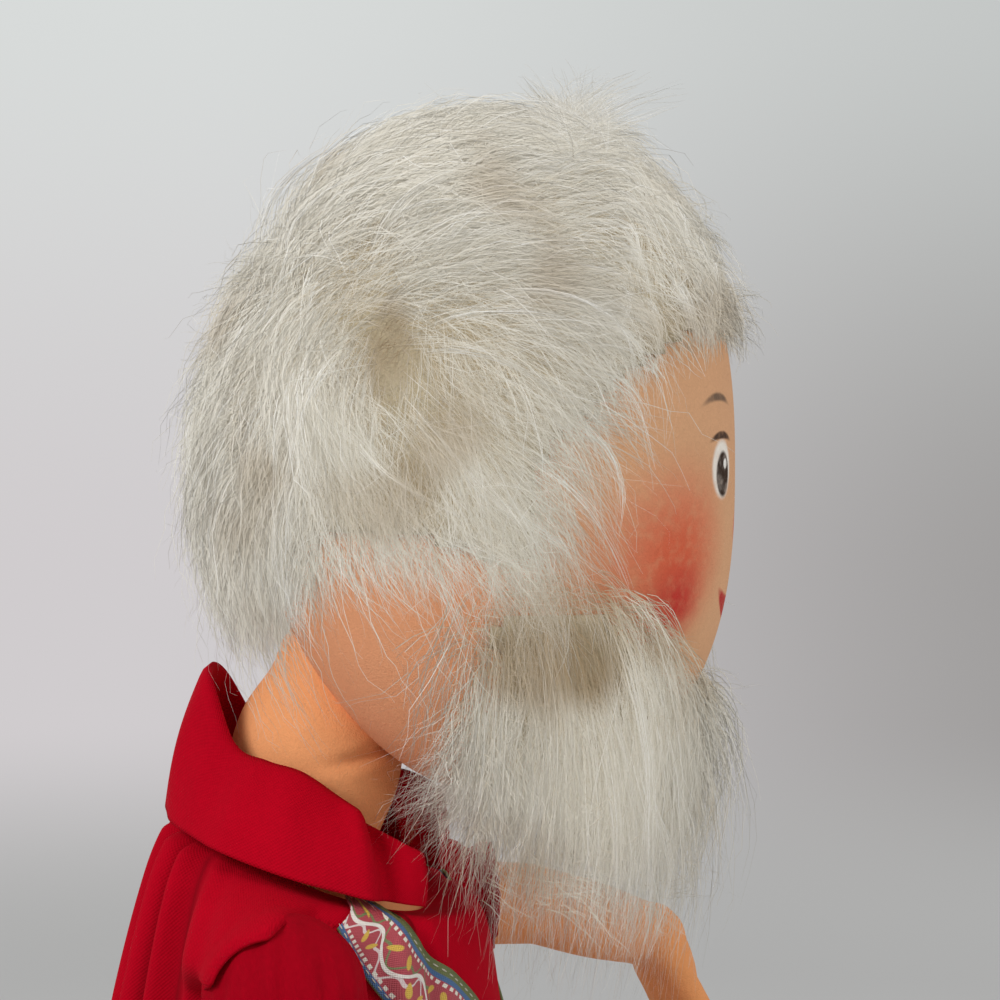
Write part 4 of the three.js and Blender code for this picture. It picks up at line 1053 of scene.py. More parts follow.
def sleeve_mesh(side, direction, swing):
    """A puff turned about the arm and cut off where it joins the smock's armhole."""
    rows = []
    gathers = 22
    head_radius = 15.2
    seam_side = -6.6
    frill = [(13.4, -31.2), (12.9, -30.0), (10.9, -27.0), (12.6, -24.0)]
    stops = [*frill, (14.6, -18), (15.3, -11), (15.3, -4), (head_radius, 0)]
    domes = np.radians([15, 30, 45, 60, 72, 84])
    stops += [(head_radius * math.cos(t), head_radius * math.sin(t)) for t in domes]
    share = np.linspace(0, 1, 60)
    radii = through([stop[0] for stop in stops], share)
    heights = through([stop[1] for stop in stops], share)
    angle = circle(176)
    for radius, height in zip(radii, heights):
        drawn = math.exp(-(((height + 26) / 6) ** 2))
        pleats = np.cos(gathers * angle + 0.6 * np.sin(3 * angle))
        ripple = (0.25 + 0.75 * drawn) * smoothstep(-height, -8, 6) * pleats
        slack = 0.5 * np.sin(5 * angle + height / 4) * smoothstep(-height, -4, 10)
        head_gathers = 0.4 * np.cos(11 * angle + 1.8 * np.sin(3 * angle)) * smoothstep(height, -9, 2)
        ring = radius + np.maximum(ripple, -0.5) + slack * (1 - drawn) + head_gathers * radius / head_radius
        rows.append(level(ring * np.cos(angle), ring * np.sin(angle), height))
    mesh = skin_mesh(f"{side}_sleeve", rows, foot=False)
    mesh.transform(arm_spread)
    shape = bmesh.new()
    shape.from_mesh(mesh)
    whole = [*shape.verts, *shape.edges, *shape.faces]
    cut = {"plane_co": (seam_side, 0, 0), "plane_no": (-1, 0, 0)}
    bmesh.ops.bisect_plane(shape, geom=whole, clear_outer=True, **cut)
    shape.to_mesh(mesh)
    shape.free()
    swung = Matrix.Rotation(math.radians(-swing), 4, "X")
    mirror = Matrix.Diagonal((direction, 1, 1, 1))
    mesh.transform(Matrix.Translation(joint_at[f"{side}_shoulder"]) @ Matrix.Scale(MM, 4) @ mirror @ swung)
    if direction < 0:
        mesh.flip_normals()
    mesh.shade_smooth()
    return mesh


for side, direction, swing in (("left", 1, 86), ("right", -1, 6)):
    sleeve = add_object(f"{side}_puff_sleeve", sleeve_mesh(side, direction, swing), red_cotton)
    thicken(sleeve, 0.7 * MM)
    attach(sleeve, f"{side}_upper_arm")
    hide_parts(f"{side}_sleeve")

# The ribbons: woven folk braid with a wavy vine on a rose ground, sewn flat on the smock from the
# hem up beside the opening and out to the shoulder under the collar.
ribbon_width = 14
ribbon_path = [(8, 176), (8, 214), (10, 252), (22, 275), (38, 289), (46, 302)]


def smock_share(angle, height):
    """The share of the smock's length where its face has a height, by halving."""
    low = np.zeros_like(angle)
    high = np.ones_like(angle)
    for _ in range(24):
        middle = (low + high) / 2
        above_it = smock_surface(angle, middle)[..., 2] > height
        low = np.where(above_it, middle, low)
        high = np.where(above_it, high, middle)
    return (low + high) / 2


def ribbon_rows(direction, lift):
    chest = 39.4
    share = np.linspace(0, 1, 150)
    path = np.stack([through(values, share) for values in zip(*ribbon_path)], axis=1)
    along = np.gradient(path, axis=0)
    along /= np.linalg.norm(along, axis=1)[:, None]
    across = np.stack([along[:, 1], -along[:, 0]], axis=1)
    columns = np.linspace(-0.5, 0.5, 15) * ribbon_width * direction
    rows = []
    for point, side in zip(path, across):
        flat = point + columns[:, None] * side
        angle = -np.pi / 2 + direction * flat[:, 0] / chest
        rows.append(smock_surface(angle, smock_share(angle, flat[:, 1]), lift))
    return np.array(rows) * MM + np.array(torso_middle)


def folk_braid():
    """Braid pattern on the UV map in metres: a vine with leaves and dots between two borders."""
    material, tree, shader = new_material("folk_braid", {"Roughness": 0.6})
    cloth = add_node(tree, "ShaderNodeUVMap", uv_map="cloth").outputs["UV"]
    parts = add_node(tree, "ShaderNodeSeparateXYZ", {0: cloth}).outputs
    repeat = 15 * MM
    across = math_node(tree, "SUBTRACT", parts["X"], ribbon_width / 2 * MM)
    turn = math_node(tree, "MULTIPLY", parts["Y"], 2 * math.pi / repeat)
    from_middle = math_node(tree, "ABSOLUTE", across)

    def band(value, middle, half):
        off = math_node(tree, "ABSOLUTE", math_node(tree, "SUBTRACT", value, middle))
        return ramp(tree, off, half, half * 0.7)

    vine = math_node(tree, "MULTIPLY", math_node(tree, "SINE", turn), 2.4 * MM)
    off_vine = math_node(tree, "SUBTRACT", across, vine)
    vine_mask = band(off_vine, 0.0, 0.62 * MM)
    leaf_turn = math_node(tree, "MULTIPLY", turn, 3.0)
    leaf_wave = math_node(tree, "MULTIPLY", math_node(tree, "SINE", leaf_turn), 1.2 * MM)
    leaf = band(math_node(tree, "ADD", off_vine, leaf_wave), 1.7 * MM, 0.5 * MM)
    leaf_too = band(math_node(tree, "ADD", off_vine, leaf_wave), -1.7 * MM, 0.5 * MM)
    cell = math_node(tree, "PINGPONG", parts["Y"], repeat / 4)
    cell = math_node(tree, "SUBTRACT", cell, repeat / 8)
    side_dot = math_node(tree, "ADD", across, math_node(tree, "MULTIPLY", vine, 1.35))
    cell_square = math_node(tree, "MULTIPLY", cell, cell)
    side_square = math_node(tree, "MULTIPLY", side_dot, side_dot)
    dot_reach = math_node(tree, "ADD", cell_square, side_square)
    dot = ramp(tree, math_node(tree, "SQRT", dot_reach), 1.15 * MM, 0.85 * MM)
    border = band(from_middle, 6.2 * MM, 0.8 * MM)
    inner = band(from_middle, 4.9 * MM, 0.5 * MM)
    picot = math_node(tree, "SINE", math_node(tree, "MULTIPLY", parts["Y"], 2 * math.pi / (1.6 * MM)))
    inner = math_node(tree, "MULTIPLY", inner, ramp(tree, picot, -0.5, 0.2))
    tone = colour(176, 70, 80)
    for mask, paint in (
        (leaf, colour(120, 128, 84)),
        (leaf_too, colour(224, 206, 204)),
        (vine_mask, colour(236, 230, 222)),
        (dot, colour(214, 178, 74)),
        (border, colour(70, 106, 150)),
        (inner, colour(232, 228, 214)),
    ):
        tone = mix_colour(tree, mask, tone, paint)
    edge = ramp(tree, from_middle, 6.5 * MM, 6.9 * MM)
    tone = mix_colour(tree, edge, tone, colour(104, 112, 66))
    threads = math_node(tree, "SINE", math_node(tree, "MULTIPLY", parts["Y"], 2 * math.pi / (0.5 * MM)))
    ribs = math_node(tree, "SINE", math_node(tree, "MULTIPLY", parts["X"], 2 * math.pi / (0.6 * MM)))
    woven = math_node(tree, "MULTIPLY", threads, ribs)
    value = math_node(tree, "ADD", math_node(tree, "MULTIPLY", woven, 0.12), 1.0)
    toned = add_node(tree, "ShaderNodeHueSaturation", {"Value": value, "Color": tone})
    tree.links.new(toned.outputs[0], shader.inputs["Base Color"])
    raised = math_node(tree, "ADD", math_node(tree, "MULTIPLY", vine_mask, 2.0), woven)
    add_bump(tree, shader, raised, 0.1 * MM, 0.8)
    return material


braid = folk_braid()
cotton_thread = thread("cotton_thread", colour(214, 206, 190))
for side, direction in (("left", 1), ("right", -1)):
    rows = ribbon_rows(direction, 0.9)
    ribbon = add_object(f"{side}_braid", skin_mesh(f"{side}_braid", rows, False, False, False), braid)
    thicken(ribbon, 0.6 * MM, 1.0)
    raised_rows = ribbon_rows(direction, 1.6)
    edges = [raised_rows[:, 1], raised_rows[:, -2]]
    sizes = {"Step": 2.0 * MM, "Length": 1.3 * MM, "Thread": 0.3 * MM, "Material": cotton_thread}
    name = f"{side}_braid_stitches"
    seam = add_object(name, grown(name, edges, stitch_tree, **sizes))
    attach(ribbon, "torso")
    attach(seam, "torso")
    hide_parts(f"{side}_ribbon")

# The collar: a wide band of the smock's cotton, folded double and sewn round the neckline. It
# stands at the back, lies over the shoulders and turns out at its two front corners.
collar_gap = math.radians(76)


def collar_rows():
    """Sections of the band from one front end round the back to the other. Each goes up the outer
    layer, over the fold and down the inner layer."""
    start = -math.pi / 2 + collar_gap / 2
    angle = start + np.linspace(0, 1, 170) * (2 * math.pi - collar_gap)
    out = np.stack([np.cos(angle), np.sin(angle), 0 * angle], axis=1)
    end = np.minimum(angle - angle[0], angle[-1] - angle)
    flap = smoothstep(end, 0.3, 0.0)
    ridge = 3.0 * np.exp(-(((end - 0.46) / 0.1) ** 2))
    valley = 6.0 * np.exp(-(((end - 0.26) / 0.09) ** 2))
    lapel = ridge - valley
    foot = smock_surface(angle, np.full_like(angle, 0.1), 4.6, 0.0) + out * (0.5 * lapel)[:, None]
    foot[:, 2] += 0.6
    crown = 22.5 * out
    crown[:, 2] = through([311, 315, 321, 326, 328, 331, 345], (np.sin(angle) + 1) / 2)
    crown[:, 2] += 8 * smoothstep(np.cos(angle), 0.1, 0.7) * smoothstep(-np.sin(angle), 0.2, 0.7)
    crown += out * (7.0 * flap + lapel)[:, None] - np.array((0, 0, 3.0)) * flap[:, None]
    wave = 0.5 * np.sin(7 * angle + 0.8) + 0.3 * np.sin(17 * angle)
    thickness = 2.2
    up = np.linspace(0, 1, 24)
    sections = []
    for share, layer in [(s, 1) for s in up] + [(s, -1) for s in up[-2::-1]]:
        belly = math.sin(math.pi * share)
        round_fold = math.sqrt(1 - min(1.0, max(0.0, (share - 0.92) / 0.08)) ** 2)
        shift = (1.4 + wave) * belly + thickness / 2 * (layer * round_fold - 1)
        sections.append(foot + (crown - foot) * share + out * shift[:, None])
    return np.stack(sections, axis=1) * MM + np.array(torso_middle)


def collar_mesh():
    mesh = skin_mesh("folded_collar", collar_rows())
    shape = bmesh.new()
    shape.from_mesh(mesh)
    bmesh.ops.recalc_face_normals(shape, faces=shape.faces)
    shape.to_mesh(mesh)
    shape.free()
    return mesh


collar = add_object("folded_collar", collar_mesh(), red_cotton)
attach(collar, "torso")
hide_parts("collar")

# The wig: long-haired fur fabric glued to the head, fine off-white fibres on a tan backing that
# shows where the hair parts. It is blown forward over the crown into a tuft and hangs at the back.
rng = np.random.default_rng(11)


def unit(v):
    return v / np.maximum(np.linalg.norm(v, axis=1), 1e-9)[:, None]


def outward(p):
    """The way out of the head at points from its middle."""
    depth = np.where(p[:, 1] < 0, head_front, head_back)
    n = np.stack([p[:, 0] / head_half_width**2, p[:, 1] / depth**2, p[:, 2] / head_half_height**2], axis=1)
    return unit(n)


def kept_outside(p, gap):
    """Points from the head's middle, moved out of the head where they are less than a gap off it."""
    least = 1 + gap / np.linalg.norm(p, axis=1)
    return p * np.maximum(1.0, least / head_level(p))[:, None]


def bare_face(p, margin=0.0):
    """True on the face and on its margin, between the hairline above and the beard below."""
    x, y, z = (p / MM).T
    heights = [-60, -47, -26, -22, -17, 0, 8, 14, 20, 26, 31]
    edges = [-60, -44, -33, -25, -21, -21, -25, -31, -38, -46, -60]
    return y < np.interp(z, heights, edges) + margin


def wig_edge(p):
    """How far above the wig's lower edge a point is, in millimetres."""
    x, y, z = (p / MM).T
    return z - np.interp(y, [-24, -10, 10, 25, 38, 47], [-21, -19, -14, -14, -21, -27])


def comb(p, n, unruly):
    """The way the hair lies: forward and up above the parting, and fanning down below it. Unruly
    locks, by how much they are so, take the parting to be higher or lower than it is."""
    x, y, z = (p / MM).T
    parting_height = np.interp(y, [-10, 12, 30, 46], [22, 25, 36, 54])
    parting_height = parting_height + np.interp(y, [10, 34], [6, 16]) * unruly
    blur = np.interp(y, [-20, 12], [22, 7])
    above_parting = smoothstep(z, parting_height - blur, parting_height + blur)
    fall = np.interp(y, [-34, -8, 20, 42], [-88, -54, -74, -96])
    rise = 16.0
    angle = np.radians(fall + (rise - fall) * above_parting)
    way = np.stack([0 * x, -np.cos(angle), np.sin(angle)], axis=1)
    fringe = smoothstep(-y, 24, 32) * smoothstep(z, 4, 16)
    down = np.stack([0.2 * np.sign(x), 0 * x - 0.2, 0 * x - 1], axis=1)
    way = way * (1 - fringe)[:, None] + down * fringe[:, None]
    way -= n * np.sum(way * n, axis=1)[:, None]
    return unit(way)


def turned(way, n, angle):
    """Tangents turned about their normals."""
    return way * np.cos(angle)[:, None] + np.cross(n, way) * np.sin(angle)[:, None]


def swirl(p, size, seed):
    """A smooth random value between -1 and 1 at each point."""
    shift = Vector((seed * 7.1, seed * 3.7, seed * 1.9))
    return np.array([noise.noise(Vector(q) / size + shift) for q in p])


def brushed_locks(roots, lengths, layers, steps=7, weight=0.25, stray=0.6, rough=0.25):
    """Locks that leave the head, lie over it at their layer's height and hang past its edges."""
    p = roots.copy()
    n = outward(p)
    unruly = rng.normal(size=len(p))
    bend = stray * swirl(p, 15 * MM, 1) + rough * rng.normal(size=len(p))
    curl = 0.6 * swirl(p, 9 * MM, 2) + 0.3 * rng.normal(size=len(p))
    way = unit(turned(comb(p, n, unruly), n, bend) + n * 0.9)
    points = [p + head_middle]
    step = (lengths / steps)[:, None]
    for number in range(steps):
        n = outward(p)
        height = (head_level(p) - 1) * np.linalg.norm(p, axis=1)
        lift = np.clip((layers - height) / layers, -0.6, 1.0)
        share = (number + 1) / steps
        goal = turned(comb(p, n, unruly), n, bend + curl * share) + n * lift[:, None] * 0.9
        ridge = np.exp(-(((p[:, 1] / MM + 21) / 6) ** 2)) * smoothstep(p[:, 2] / MM, 48, 60)
        goal += np.array((0, -0.1, 0.8)) * ridge[:, None]
        goal[:, 2] -= weight * share
        way = unit(way + 0.75 * goal)
        p = kept_outside(p + way * step, 0.8 * MM)
        points.append(p + head_middle)
    return np.stack(points, axis=1)


def scattered(count):
    """Places all over the head, in metres from its middle."""
    p = unit(rng.normal(size=(count, 3))) * np.array((head_half_width, head_front, head_half_height))
    return p / head_level(p)[:, None]


def strand_tree():
    """Fur: each guide becomes a lock of fine flat strands that part, frizz and taper."""
    inputs = {
        "Geometry": "Geometry",
        "Strands": "Int",
        "Lock Width": "Float",
        "Tip Spread": "Float",
        "Strand Width": "Float",
        "Frizz": "Float",
        "Frizz Scale": "Float",
        "Shortest": "Float",
        "Bright": "Float",
        "Middle": "Vector",
        "Seed": "Int",
        "Material": "Material",
    }
    tree, given = new_group("fur strands", "GeometryNodeTree", inputs, {"Geometry": "Geometry"})
    tree.is_modifier = True
    copies = add_node(tree, "GeometryNodeDuplicateElements", domain="SPLINE")
    tree.links.new(given["Geometry"], copies.inputs["Geometry"])
    tree.links.new(given["Strands"], copies.inputs["Amount"])
    index = add_node(tree, "GeometryNodeInputIndex").outputs[0]

    def chance(kind, low, high, shift):
        made = add_node(tree, "FunctionNodeRandomValue", data_type=kind)
        sockets = [s for s in made.inputs if s.enabled]
        sockets[0].default_value = low
        sockets[1].default_value = high
        tree.links.new(index, made.inputs["ID"])
        seed = math_node(tree, "ADD", given["Seed"], float(shift))
        tree.links.new(seed, made.inputs["Seed"])
        return next(s for s in made.outputs if s.enabled)

    keep = add_node(tree, "GeometryNodeCaptureAttribute", domain="CURVE")
    keep.capture_items.new("VECTOR", "Aside")
    for name in ("Shade", "Turn", "Length"):
        keep.capture_items.new("FLOAT", name)
    tree.links.new(copies.outputs["Geometry"], keep.inputs["Geometry"])
    tree.links.new(chance("FLOAT_VECTOR", (-1, -1, -1), (1, 1, 1), 1), keep.inputs["Aside"])
    tree.links.new(chance("FLOAT", 0.0, 1.0, 2), keep.inputs["Shade"])
    tree.links.new(chance("FLOAT", -0.9, 0.9, 3), keep.inputs["Turn"])
    tree.links.new(chance("FLOAT", 0.0, 1.0, 4), keep.inputs["Length"])
    cut = add_node(tree, "GeometryNodeTrimCurve", {"Curve": keep.outputs["Geometry"]}, mode="FACTOR")
    length = add_node(tree, "ShaderNodeMapRange", {0: keep.outputs["Length"], 3: given["Shortest"], 4: 1.0})
    tree.links.new(length.outputs[0], next(s for s in cut.inputs if s.name == "End" and s.enabled))
    along = add_node(tree, "GeometryNodeSplineParameter").outputs["Factor"]
    spread = add_node(tree, "ShaderNodeMapRange", {0: along, 3: 1.0, 4: given["Tip Spread"]})
    wide = math_node(tree, "MULTIPLY", spread.outputs[0], given["Lock Width"])
    shift = vector_node(tree, "SCALE", keep.outputs["Aside"], wide)
    place = add_node(tree, "GeometryNodeInputPosition").outputs[0]
    apart = (0.05, 0.05, 0.05)
    sample = vector_node(tree, "MULTIPLY_ADD", keep.outputs["Aside"], apart, place)
    wobble = add_node(tree, "ShaderNodeTexNoise", {"Vector": sample, "Detail": 2.0})
    tree.links.new(given["Frizz Scale"], wobble.inputs["Scale"])
    middle = (0.5, 0.5, 0.5)
    centred = vector_node(tree, "SUBTRACT", wobble.outputs["Color"], middle)
    amount = math_node(tree, "MULTIPLY", along, given["Frizz"])
    frizz = vector_node(tree, "SCALE", centred, amount)
    moved = vector_node(tree, "ADD", shift, frizz)
    placed = add_node(tree, "GeometryNodeSetPosition", {"Geometry": cut.outputs[0], "Offset": moved})
    taper = add_node(tree, "ShaderNodeMapRange", {0: along, 1: 0.35, 2: 1.0, 3: 0.5, 4: 0.12})
    radius = math_node(tree, "MULTIPLY", taper.outputs[0], given["Strand Width"])
    sized = add_node(tree, "GeometryNodeSetCurveRadius", {"Curve": placed.outputs[0], "Radius": radius})
    away = vector_node(tree, "SUBTRACT", place, given["Middle"])
    outwards = {"Curve": sized.outputs[0], "Normal": away}
    faced = add_node(tree, "GeometryNodeSetCurveNormal", outwards, mode="FREE")
    rolled = {"Curve": faced.outputs[0], "Tilt": keep.outputs["Turn"]}
    tilted = add_node(tree, "GeometryNodeSetCurveTilt", rolled)
    shade = math_node(tree, "ADD", keep.outputs["Shade"], given["Bright"])
    stored = tilted.outputs[0]
    for name, value in (("shade", shade), ("along", along)):
        held = {"Geometry": stored, "Name": name}
        store = add_node(tree, "GeometryNodeStoreNamedAttribute", held, data_type="FLOAT")
        tree.links.new(value, next(s for s in store.inputs if s.name == "Value" and s.enabled))
        stored = store.outputs[0]
    flat = add_node(tree, "GeometryNodeCurvePrimitiveLine", {"Start": (-1, 0, 0), "End": (1, 0, 0)})
    made = add_node(tree, "GeometryNodeCurveToMesh", {"Curve": stored, "Profile Curve": flat.outputs[0]})
    tree.links.new(add_node(tree, "GeometryNodeInputRadius").outputs[0], made.inputs["Scale"])
    smooth = add_node(tree, "GeometryNodeSetShadeSmooth", {"Geometry": made.outputs[0]})
    real = add_node(tree, "GeometryNodeRealizeInstances", {0: smooth.outputs[0]})
    finish = add_node(tree, "GeometryNodeSetMaterial", {"Geometry": real.outputs[0]})
    tree.links.new(given["Material"], finish.inputs["Material"])
    add_node(tree, "NodeGroupOutput", {"Geometry": finish.outputs[0]})
    return tree


def fur_fibre(name, middle, half, tan, parting):
    """Fur whose strands are lit as the soft round mass they make up, an oval with a middle and half
    sizes in metres. Single strands vary from cream to white, and those with a raised shade are whiter
    still, a painted highlight. They are browner in patches and at a parting on each side, an oval too,
    in millimetres from the head's middle, and darker and browner at the root, painted shade deep in
    the fur, which casts no shadows."""
    material, tree, shader = new_material(name, {"Roughness": 0.5, "Specular IOR Level": 0.3})
    shade = add_node(tree, "ShaderNodeAttribute", attribute_name="shade").outputs["Fac"]
    along = add_node(tree, "ShaderNodeAttribute", attribute_name="along").outputs["Fac"]
    place = object_place(tree)
    tone = mix_colour(tree, ramp(tree, shade, 0.0, 0.6), colour(212, 206, 191), colour(229, 224, 211))
    # The whitest tone: some strands reach it at random, and the locks whose shade is raised reach it as a
    # painted highlight.
    tone = mix_colour(tree, ramp(tree, shade, 0.8, 1.1), tone, colour(246, 244, 238))
    patch = ramp(tree, noise_texture(tree, place, 38.0, 1.0), 0.5, 0.72, 0.0, tan)
    tone = mix_colour(tree, patch, tone, colour(186, 166, 136))
    spot_middle = tuple(head_middle + np.array(parting[0]) * MM)
    spot = vector_node(tree, "SUBTRACT", place, spot_middle)
    shrink = (0.0, 1 / (parting[1][1] * MM), 1 / (parting[1][2] * MM))
    spot = vector_node(tree, "MULTIPLY", spot, shrink)
    spot = vector_node(tree, "LENGTH", spot)
    tone = mix_colour(tree, ramp(tree, spot, 0.3, 1.1, 0.85, 0.0), tone, colour(172, 150, 116))
    # Painted shade: strands darken and brown towards their roots, for the shade deep in the fur, which casts
    # no shadows.
    painted_root_shade = mix_colour(tree, 1.0, tone, (0.78, 0.69, 0.56, 1.0), "MULTIPLY")
    tone = mix_colour(tree, ramp(tree, along, 0.0, 0.3), painted_root_shade, tone)
    tree.links.new(tone, shader.inputs["Base Color"])
    offset = vector_node(tree, "SUBTRACT", place, tuple(middle))
    squares = tuple(value**2 for value in half)
    out = vector_node(tree, "DIVIDE", offset, squares)
    out = vector_node(tree, "NORMALIZE", out)
    turn = {"vector_type": "NORMAL", "convert_from": "OBJECT", "convert_to": "WORLD"}
    out = add_node(tree, "ShaderNodeVectorTransform", {0: out}, **turn).outputs[0]
    own = add_node(tree, "ShaderNodeNewGeometry").outputs["Normal"]
    share = (1.0, 1.0, 1.0)
    both = vector_node(tree, "MULTIPLY_ADD", out, share, own)
    facing = vector_node(tree, "NORMALIZE", both)
    tree.links.new(facing, shader.inputs["Normal"])
    return material


fur_tree = strand_tree()
wig_parting = np.array([(0, 13, 24), (0, 6, 12)])
head_half = (head_half_width, head_front, head_half_height)
wig_fibre = fur_fibre("wig_fibre", head_middle, head_half, 0.45, wig_parting)
fur_sizes = {
    "Strands": 38,
    "Lock Width": 3.6 * MM,
    "Tip Spread": 1.3,
    "Strand Width": 0.14 * MM,
    "Frizz": 6.0 * MM,
    "Frizz Scale": 170.0,
    "Shortest": 0.4,
    "Bright": 0.0,
    "Middle": tuple(head_middle),
    "Seed": 5,
    "Material": wig_fibre,
}


def fur_piece(name, lines, **changes):
    piece = add_object(name, grown(name, lines, fur_tree, **{**fur_sizes, **changes}))
    piece.visible_shadow = False
    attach(piece, "head")
    return piece


def backing_rows():
    """The fur's woven backing: a cap just off the head."""
    angle = circle(120)
    rows = []
    for polar in np.linspace(0.02, 0.98, 90) * np.pi:
        flat = math.sin(polar)
        x = head_half_width * flat * np.cos(angle)
        y = np.where(np.sin(angle) < 0, head_front, head_back) * flat * np.sin(angle)
        p = level(x, y, -head_half_height * math.cos(polar))
        rows.append(kept_outside(p / head_level(p)[:, None], 0.8 * MM))
    return np.array(rows)


def backing_mesh(name, left_bare):
    """The backing cut to a piece of fur; a test of places says what it leaves bare."""
    mesh = skin_mesh(name, backing_rows())
    shape = bmesh.new()
    shape.from_mesh(mesh)
    middles = np.array([face.calc_center_median() for face in shape.faces])
    outside = left_bare(middles)
    bmesh.ops.delete(shape, geom=[face for face, out in zip(shape.faces, outside) if out], context="FACES")
    shape.to_mesh(mesh)
    shape.free()
    mesh.transform(Matrix.Translation(head_middle))
    mesh.shade_smooth()
    return mesh


def tan_backing():
    material, tree, shader = new_material("fur_backing_cloth", {"Roughness": 1.0})
    place = object_place(tree)
    pile = noise_texture(tree, place, 1600.0, 4.0, 1.0)
    patch = noise_texture(tree, place, 60.0, 2.0)
    tone = mix_colour(tree, patch, colour(156, 136, 104), colour(204, 192, 164))
    value = math_node(tree, "ADD", math_node(tree, "MULTIPLY", pile, 0.7), 0.6)
    toned = add_node(tree, "ShaderNodeHueSaturation", {"Value": value, "Color": tone})
    tree.links.new(toned.outputs[0], shader.inputs["Base Color"])
    add_bump(tree, shader, pile, 0.4 * MM)
    return material


def backing_piece(name, left_bare, node):
    backing = add_object(name, backing_mesh(name, left_bare), backing_cloth)
    thicken(backing, 0.6 * MM, 1.0)
    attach(backing, "head")
    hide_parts(node)


def off_wig(p):
    return bare_face(p, 8) | (wig_edge(p) < 4)


backing_cloth = tan_backing()
backing_piece("wig_backing", off_wig, "hair_wig")


def wig_places(count, margin=6.0):
    """Places under the wig, few at the parting, with the length that leaves the face and the nape
    free, and how high the hair lies there."""
    p = scattered(count)
    p = p[~bare_face(p, margin) & (wig_edge(p) > 0)]
    parting = np.linalg.norm((p / MM - wig_parting[0])[:, 1:] / wig_parting[1][1:], axis=1)
    p = p[rng.random(len(p)) < 0.3 + 0.7 * smoothstep(parting, 0.2, 1.1)]
    x, y, z = (p / MM).T
    full = 15 + 18 * smoothstep(wig_edge(p), 0, 26)
    above_brow = 4 + 0.7 * np.maximum(z - 22, 0)
    behind_tuft = 6 + np.maximum(y + 20, 0)
    fringe = smoothstep(-y, 14, 26)
    crown = smoothstep(z, 30, 42) * (1 - fringe)
    longest = full * (1 - fringe) + np.minimum(full, above_brow) * fringe
    longest = longest * (1 - crown) + np.minimum(longest, behind_tuft) * crown
    mounds = 1 + 0.4 * swirl(p, 16 * MM, 3)
    flat_crown = 4.5 * smoothstep(z, 32, 50)
    thickest = (8.0 - 5.0 * smoothstep(-y, 18, 30) + 3.5 * smoothstep(y, 22, 44) - flat_crown) * mounds
    thickest = np.maximum(thickest, 1.5)
    return p, longest * MM, thickest * MM


def eighths(lines):
    """Lines sorted by the eighth of the head that their roots are in, seen from above."""
    around = np.arctan2(lines[:, 0, 1] - head_middle[1], lines[:, 0, 0] - head_middle[0])
    number = np.floor((around + np.pi) / (2 * np.pi) * 8).astype(int) % 8
    return [lines[number == k] for k in range(8)]


places, longest, thickest = wig_places(4000)
lengths = longest * (0.65 + 0.55 * rng.random(len(places)))
layers = thickest * (0.15 + 0.85 * rng.random(len(places)))
locks = brushed_locks(places, lengths, layers)
in_front = (places[:, 1] < -22 * MM) & (places[:, 2] > 8 * MM)
for number, lines in enumerate(eighths(locks[~in_front])):
    if len(lines):
        fur_piece(f"wig_{number + 1}", lines, Seed=20 + number)
fringe_look = {"Seed": 28, "Strands": 24, "Lock Width": 1.4 * MM, "Frizz": 5.0 * MM, "Shortest": 0.2}
fur_piece("wig_fringe", locks[in_front], **fringe_look)

places, longest, thickest = wig_places(1700)
lengths = (7 + 6 * rng.random(len(places))) * MM
fuzz = brushed_locks(places, lengths, thickest * (0.6 + 0.5 * rng.random(len(places))), 5, 0.1, 0.8, 1.2)
fuzz += (outward(places) * (thickest * 0.55)[:, None])[:, None, :]
fuzz_look = {"Strands": 14, "Lock Width": 3.0 * MM, "Tip Spread": 1.6, "Frizz": 8.0 * MM}
fuzz_look["Strand Width"] = 0.12 * MM
fur_piece("wig_fuzz", fuzz, Seed=29, Bright=0.1, **fuzz_look)

# Locks of whiter strands lying on top of the wig, their shade raised by Bright: painted highlights.
places, longest, thickest = wig_places(420)
painted_highlight_locks = brushed_locks(places, longest * 1.25, thickest, steps=9)
painted_highlight_look = {"Strands": 26, "Lock Width": 1.7 * MM, "Tip Spread": 0.35, "Frizz": 2.0 * MM, "Bright": 0.35}
fur_piece("wig_bright_locks", painted_highlight_locks, Seed=30, **painted_highlight_look)

places, longest, thickest = wig_places(2600, 4.0)
layers = thickest * (0.8 + 0.9 * rng.random(len(places)))
wisps = brushed_locks(places, longest * (0.8 + 0.7 * rng.random(len(places))), layers, 9, 0.35, 1.0, 0.8)
wisp_look = {"Strands": 3, "Lock Width": 3.0 * MM, "Tip Spread": 2.2, "Frizz": 9 * MM}
wisp_look["Strand Width"] = 0.13 * MM
fur_piece("wig_wisps", wisps, Seed=31, Bright=0.2, Shortest=0.3, **wisp_look)


places, longest, thickest = wig_places(2600, 4.0)
at_hem = (wig_edge(places) < 9) & (places[:, 1] < 40 * MM)
places = places[at_hem]
lengths = (22 + 20 * rng.random(len(places))) * MM
hem_layers = thickest[at_hem] * (0.3 + 0.9 * rng.random(len(places)))
hem = brushed_locks(places, lengths, hem_layers, 10, 0.9, 0.7, 0.3)
fur_piece("wig_hem", hem, Seed=33, Bright=0.1, Shortest=0.35, **{**wisp_look, "Strands": 9})


